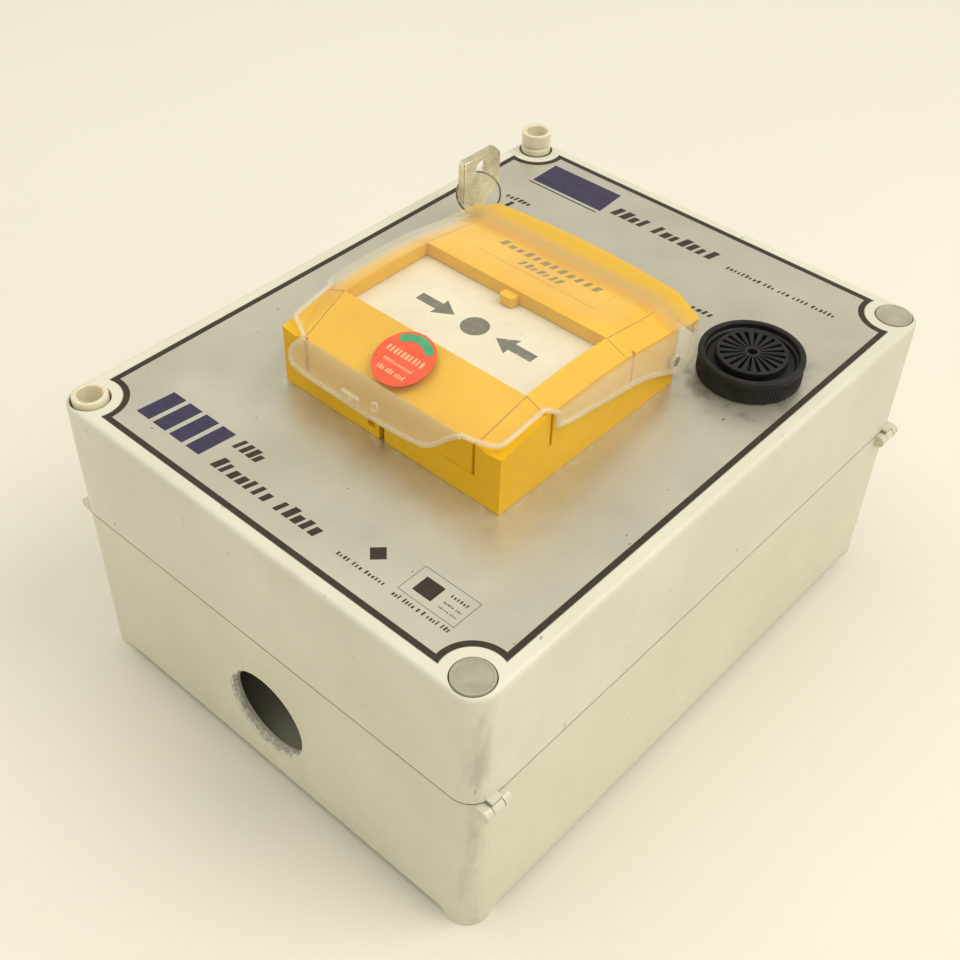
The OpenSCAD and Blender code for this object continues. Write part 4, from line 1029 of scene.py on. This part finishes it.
def key_stamping():
    """The raised rim on the key bow's right face."""
    low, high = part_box("key")
    y0, y1, z1 = low.y + 0.7 * MM, high.y - 0.8 * MM, high.z - 0.7 * MM
    z0, wide = z1 - 15.8 * MM, 1.5 * MM
    turn = Matrix.Translation((high.x, 0, 0)) @ Matrix.Rotation(math.pi / 2, 4, "Y")
    bm = bmesh.new()
    for za, zb, ya, yb in ((z1 - wide, z1, y0, y1 - 3 * MM), (z0, z1 - wide, y0, y0 + wide)):
        slab(bm, rectangle(-zb, -za, ya, yb), -0.1 * MM, 0.22 * MM, turn)
    piece("key_stamping", bm, [NICKEL], "key", bevel=0.1 * MM)


# ---------- base ----------

CABLE_ENTRY = next(m for m in frame["record"]["mounts"] if m["name"] == "cable_entry")
ENTRY_Z = CABLE_ENTRY["pos_m"][2]
ENTRY_R = CABLE_ENTRY["dims"]["r_mm"] * MM
FLAKE_STEPS = 160


def drilled_edge():
    """The rough lip left round the drilled cable hole, with ragged flakes."""
    chance = random.Random(5)
    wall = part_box("base_shell")[0].y
    rough = [chance.uniform(-1, 1) for _ in range(FLAKE_STEPS)]
    rough = [(rough[k - 1] + rough[k] + rough[(k + 1) % FLAKE_STEPS]) / 3 for k in range(FLAKE_STEPS)]
    bm = bmesh.new()
    rings = []
    # Of each ring, in mm: how far it is outside the hole's edge, its depth in the wall, how ragged it is
    for out, deep, ragged in ((-0.05, 0.2, 0.1), (0.9, 0.03, 1.0), (0.5, 0.45, 0.6), (0.02, 2.6, 0.1),
                              (-0.5, 2.4, 0.7), (-0.45, 0.5, 0.8)):
        ring = []
        for k, flake in enumerate(rough):
            a = 2 * math.pi * k / FLAKE_STEPS
            r = ENTRY_R + (out + ragged * flake) * MM
            y = wall + (deep + 0.1 * max(0, flake)) * MM
            ring.append(bm.verts.new((r * math.cos(a), y, ENTRY_Z + r * math.sin(a))))
        rings.append(ring)
    close_rings(bm, rings)
    piece("drilled_edge", bm, [FLAKE_PLASTIC], "base", sharp=30)


# ---------- stage, light and camera ----------

# The camera as fitted to the photo: its place, the way it looks and its tilt
CAMERA_AT = (216.0 * MM, -264.6 * MM, 372.7 * MM)
CAMERA_AZIMUTH = 40.67
CAMERA_ELEVATION = 43.08
CAMERA_ROLL = 1.93
CAMERA_LENS = 50.82
FLOOR_HALF = 4.0


def camera():
    a, e = math.radians(CAMERA_AZIMUTH), math.radians(CAMERA_ELEVATION)
    ahead = Vector((-math.sin(a) * math.cos(e), math.cos(a) * math.cos(e), -math.sin(e)))
    right = ahead.cross(Vector((0, 0, 1))).normalized()
    up = right.cross(ahead)
    tilt = Matrix.Rotation(math.radians(-CAMERA_ROLL), 3, ahead)
    right, up = tilt @ right, tilt @ up
    data = bpy.data.cameras.new("camera")
    data.sensor_width = 36
    data.lens = CAMERA_LENS
    data.clip_start, data.clip_end = 0.01, 20
    thing = add_object("camera", data)
    turn = Matrix((right, up, -ahead)).transposed().to_4x4()
    thing.matrix_world = Matrix.Translation(CAMERA_AT) @ turn
    bpy.context.scene.camera = thing


def floor():
    bm = bmesh.new()
    slab(bm, rectangle(-FLOOR_HALF, FLOOR_HALF, -FLOOR_HALF, FLOOR_HALF), -0.01, 0.0)
    mesh = bpy.data.meshes.new("floor")
    bm.to_mesh(mesh)
    bm.free()
    mesh.materials.append(finish_of("floor_pale", (0.80, 0.77, 0.67), (0.82, 0.79, 0.69), 400,
                                    (0.55, 0.65), 2, 0.01))
    add_object("floor", mesh)


def soft_light(name, place, target, size, power, colour):
    data = bpy.data.lights.new(name, "AREA")
    data.shape = "DISK"
    data.size = size
    data.energy = power
    data.color = colour
    thing = add_object(name, data)
    thing.location = place
    thing.rotation_euler = (Vector(target) - Vector(place)).to_track_quat("-Z", "Y").to_euler()


def lights():
    world = bpy.data.worlds.new("studio")
    bpy.context.scene.world = world
    world.use_nodes = True
    background = world.node_tree.nodes["Background"]
    put(background, "Color", (1.0, 0.962, 0.86, 1))
    put(background, "Strength", 0.68)
    aim = (0, 0, 0.08)
    soft_light("key_light", (0.9, 0.5, 1.5), aim, 1.2, 14, (1.0, 0.965, 0.88))
    soft_light("top_light", (-0.5, -0.2, 1.7), aim, 1.5, 7.5, (1.0, 0.965, 0.88))
    bpy.context.scene.view_settings.view_transform = "Standard"


# ---------- build ----------

finish_cad_nodes()
label_border()
label_print()
roof_groove_shades()
release_label()
element_print()
cover_sheet()
cover_details()
sticker_print()
sounder_ring()
grille_face()
ring_screws()
screw_caps()
split_ring()
key_stamping()
drilled_edge()
floor()
lights()
camera()
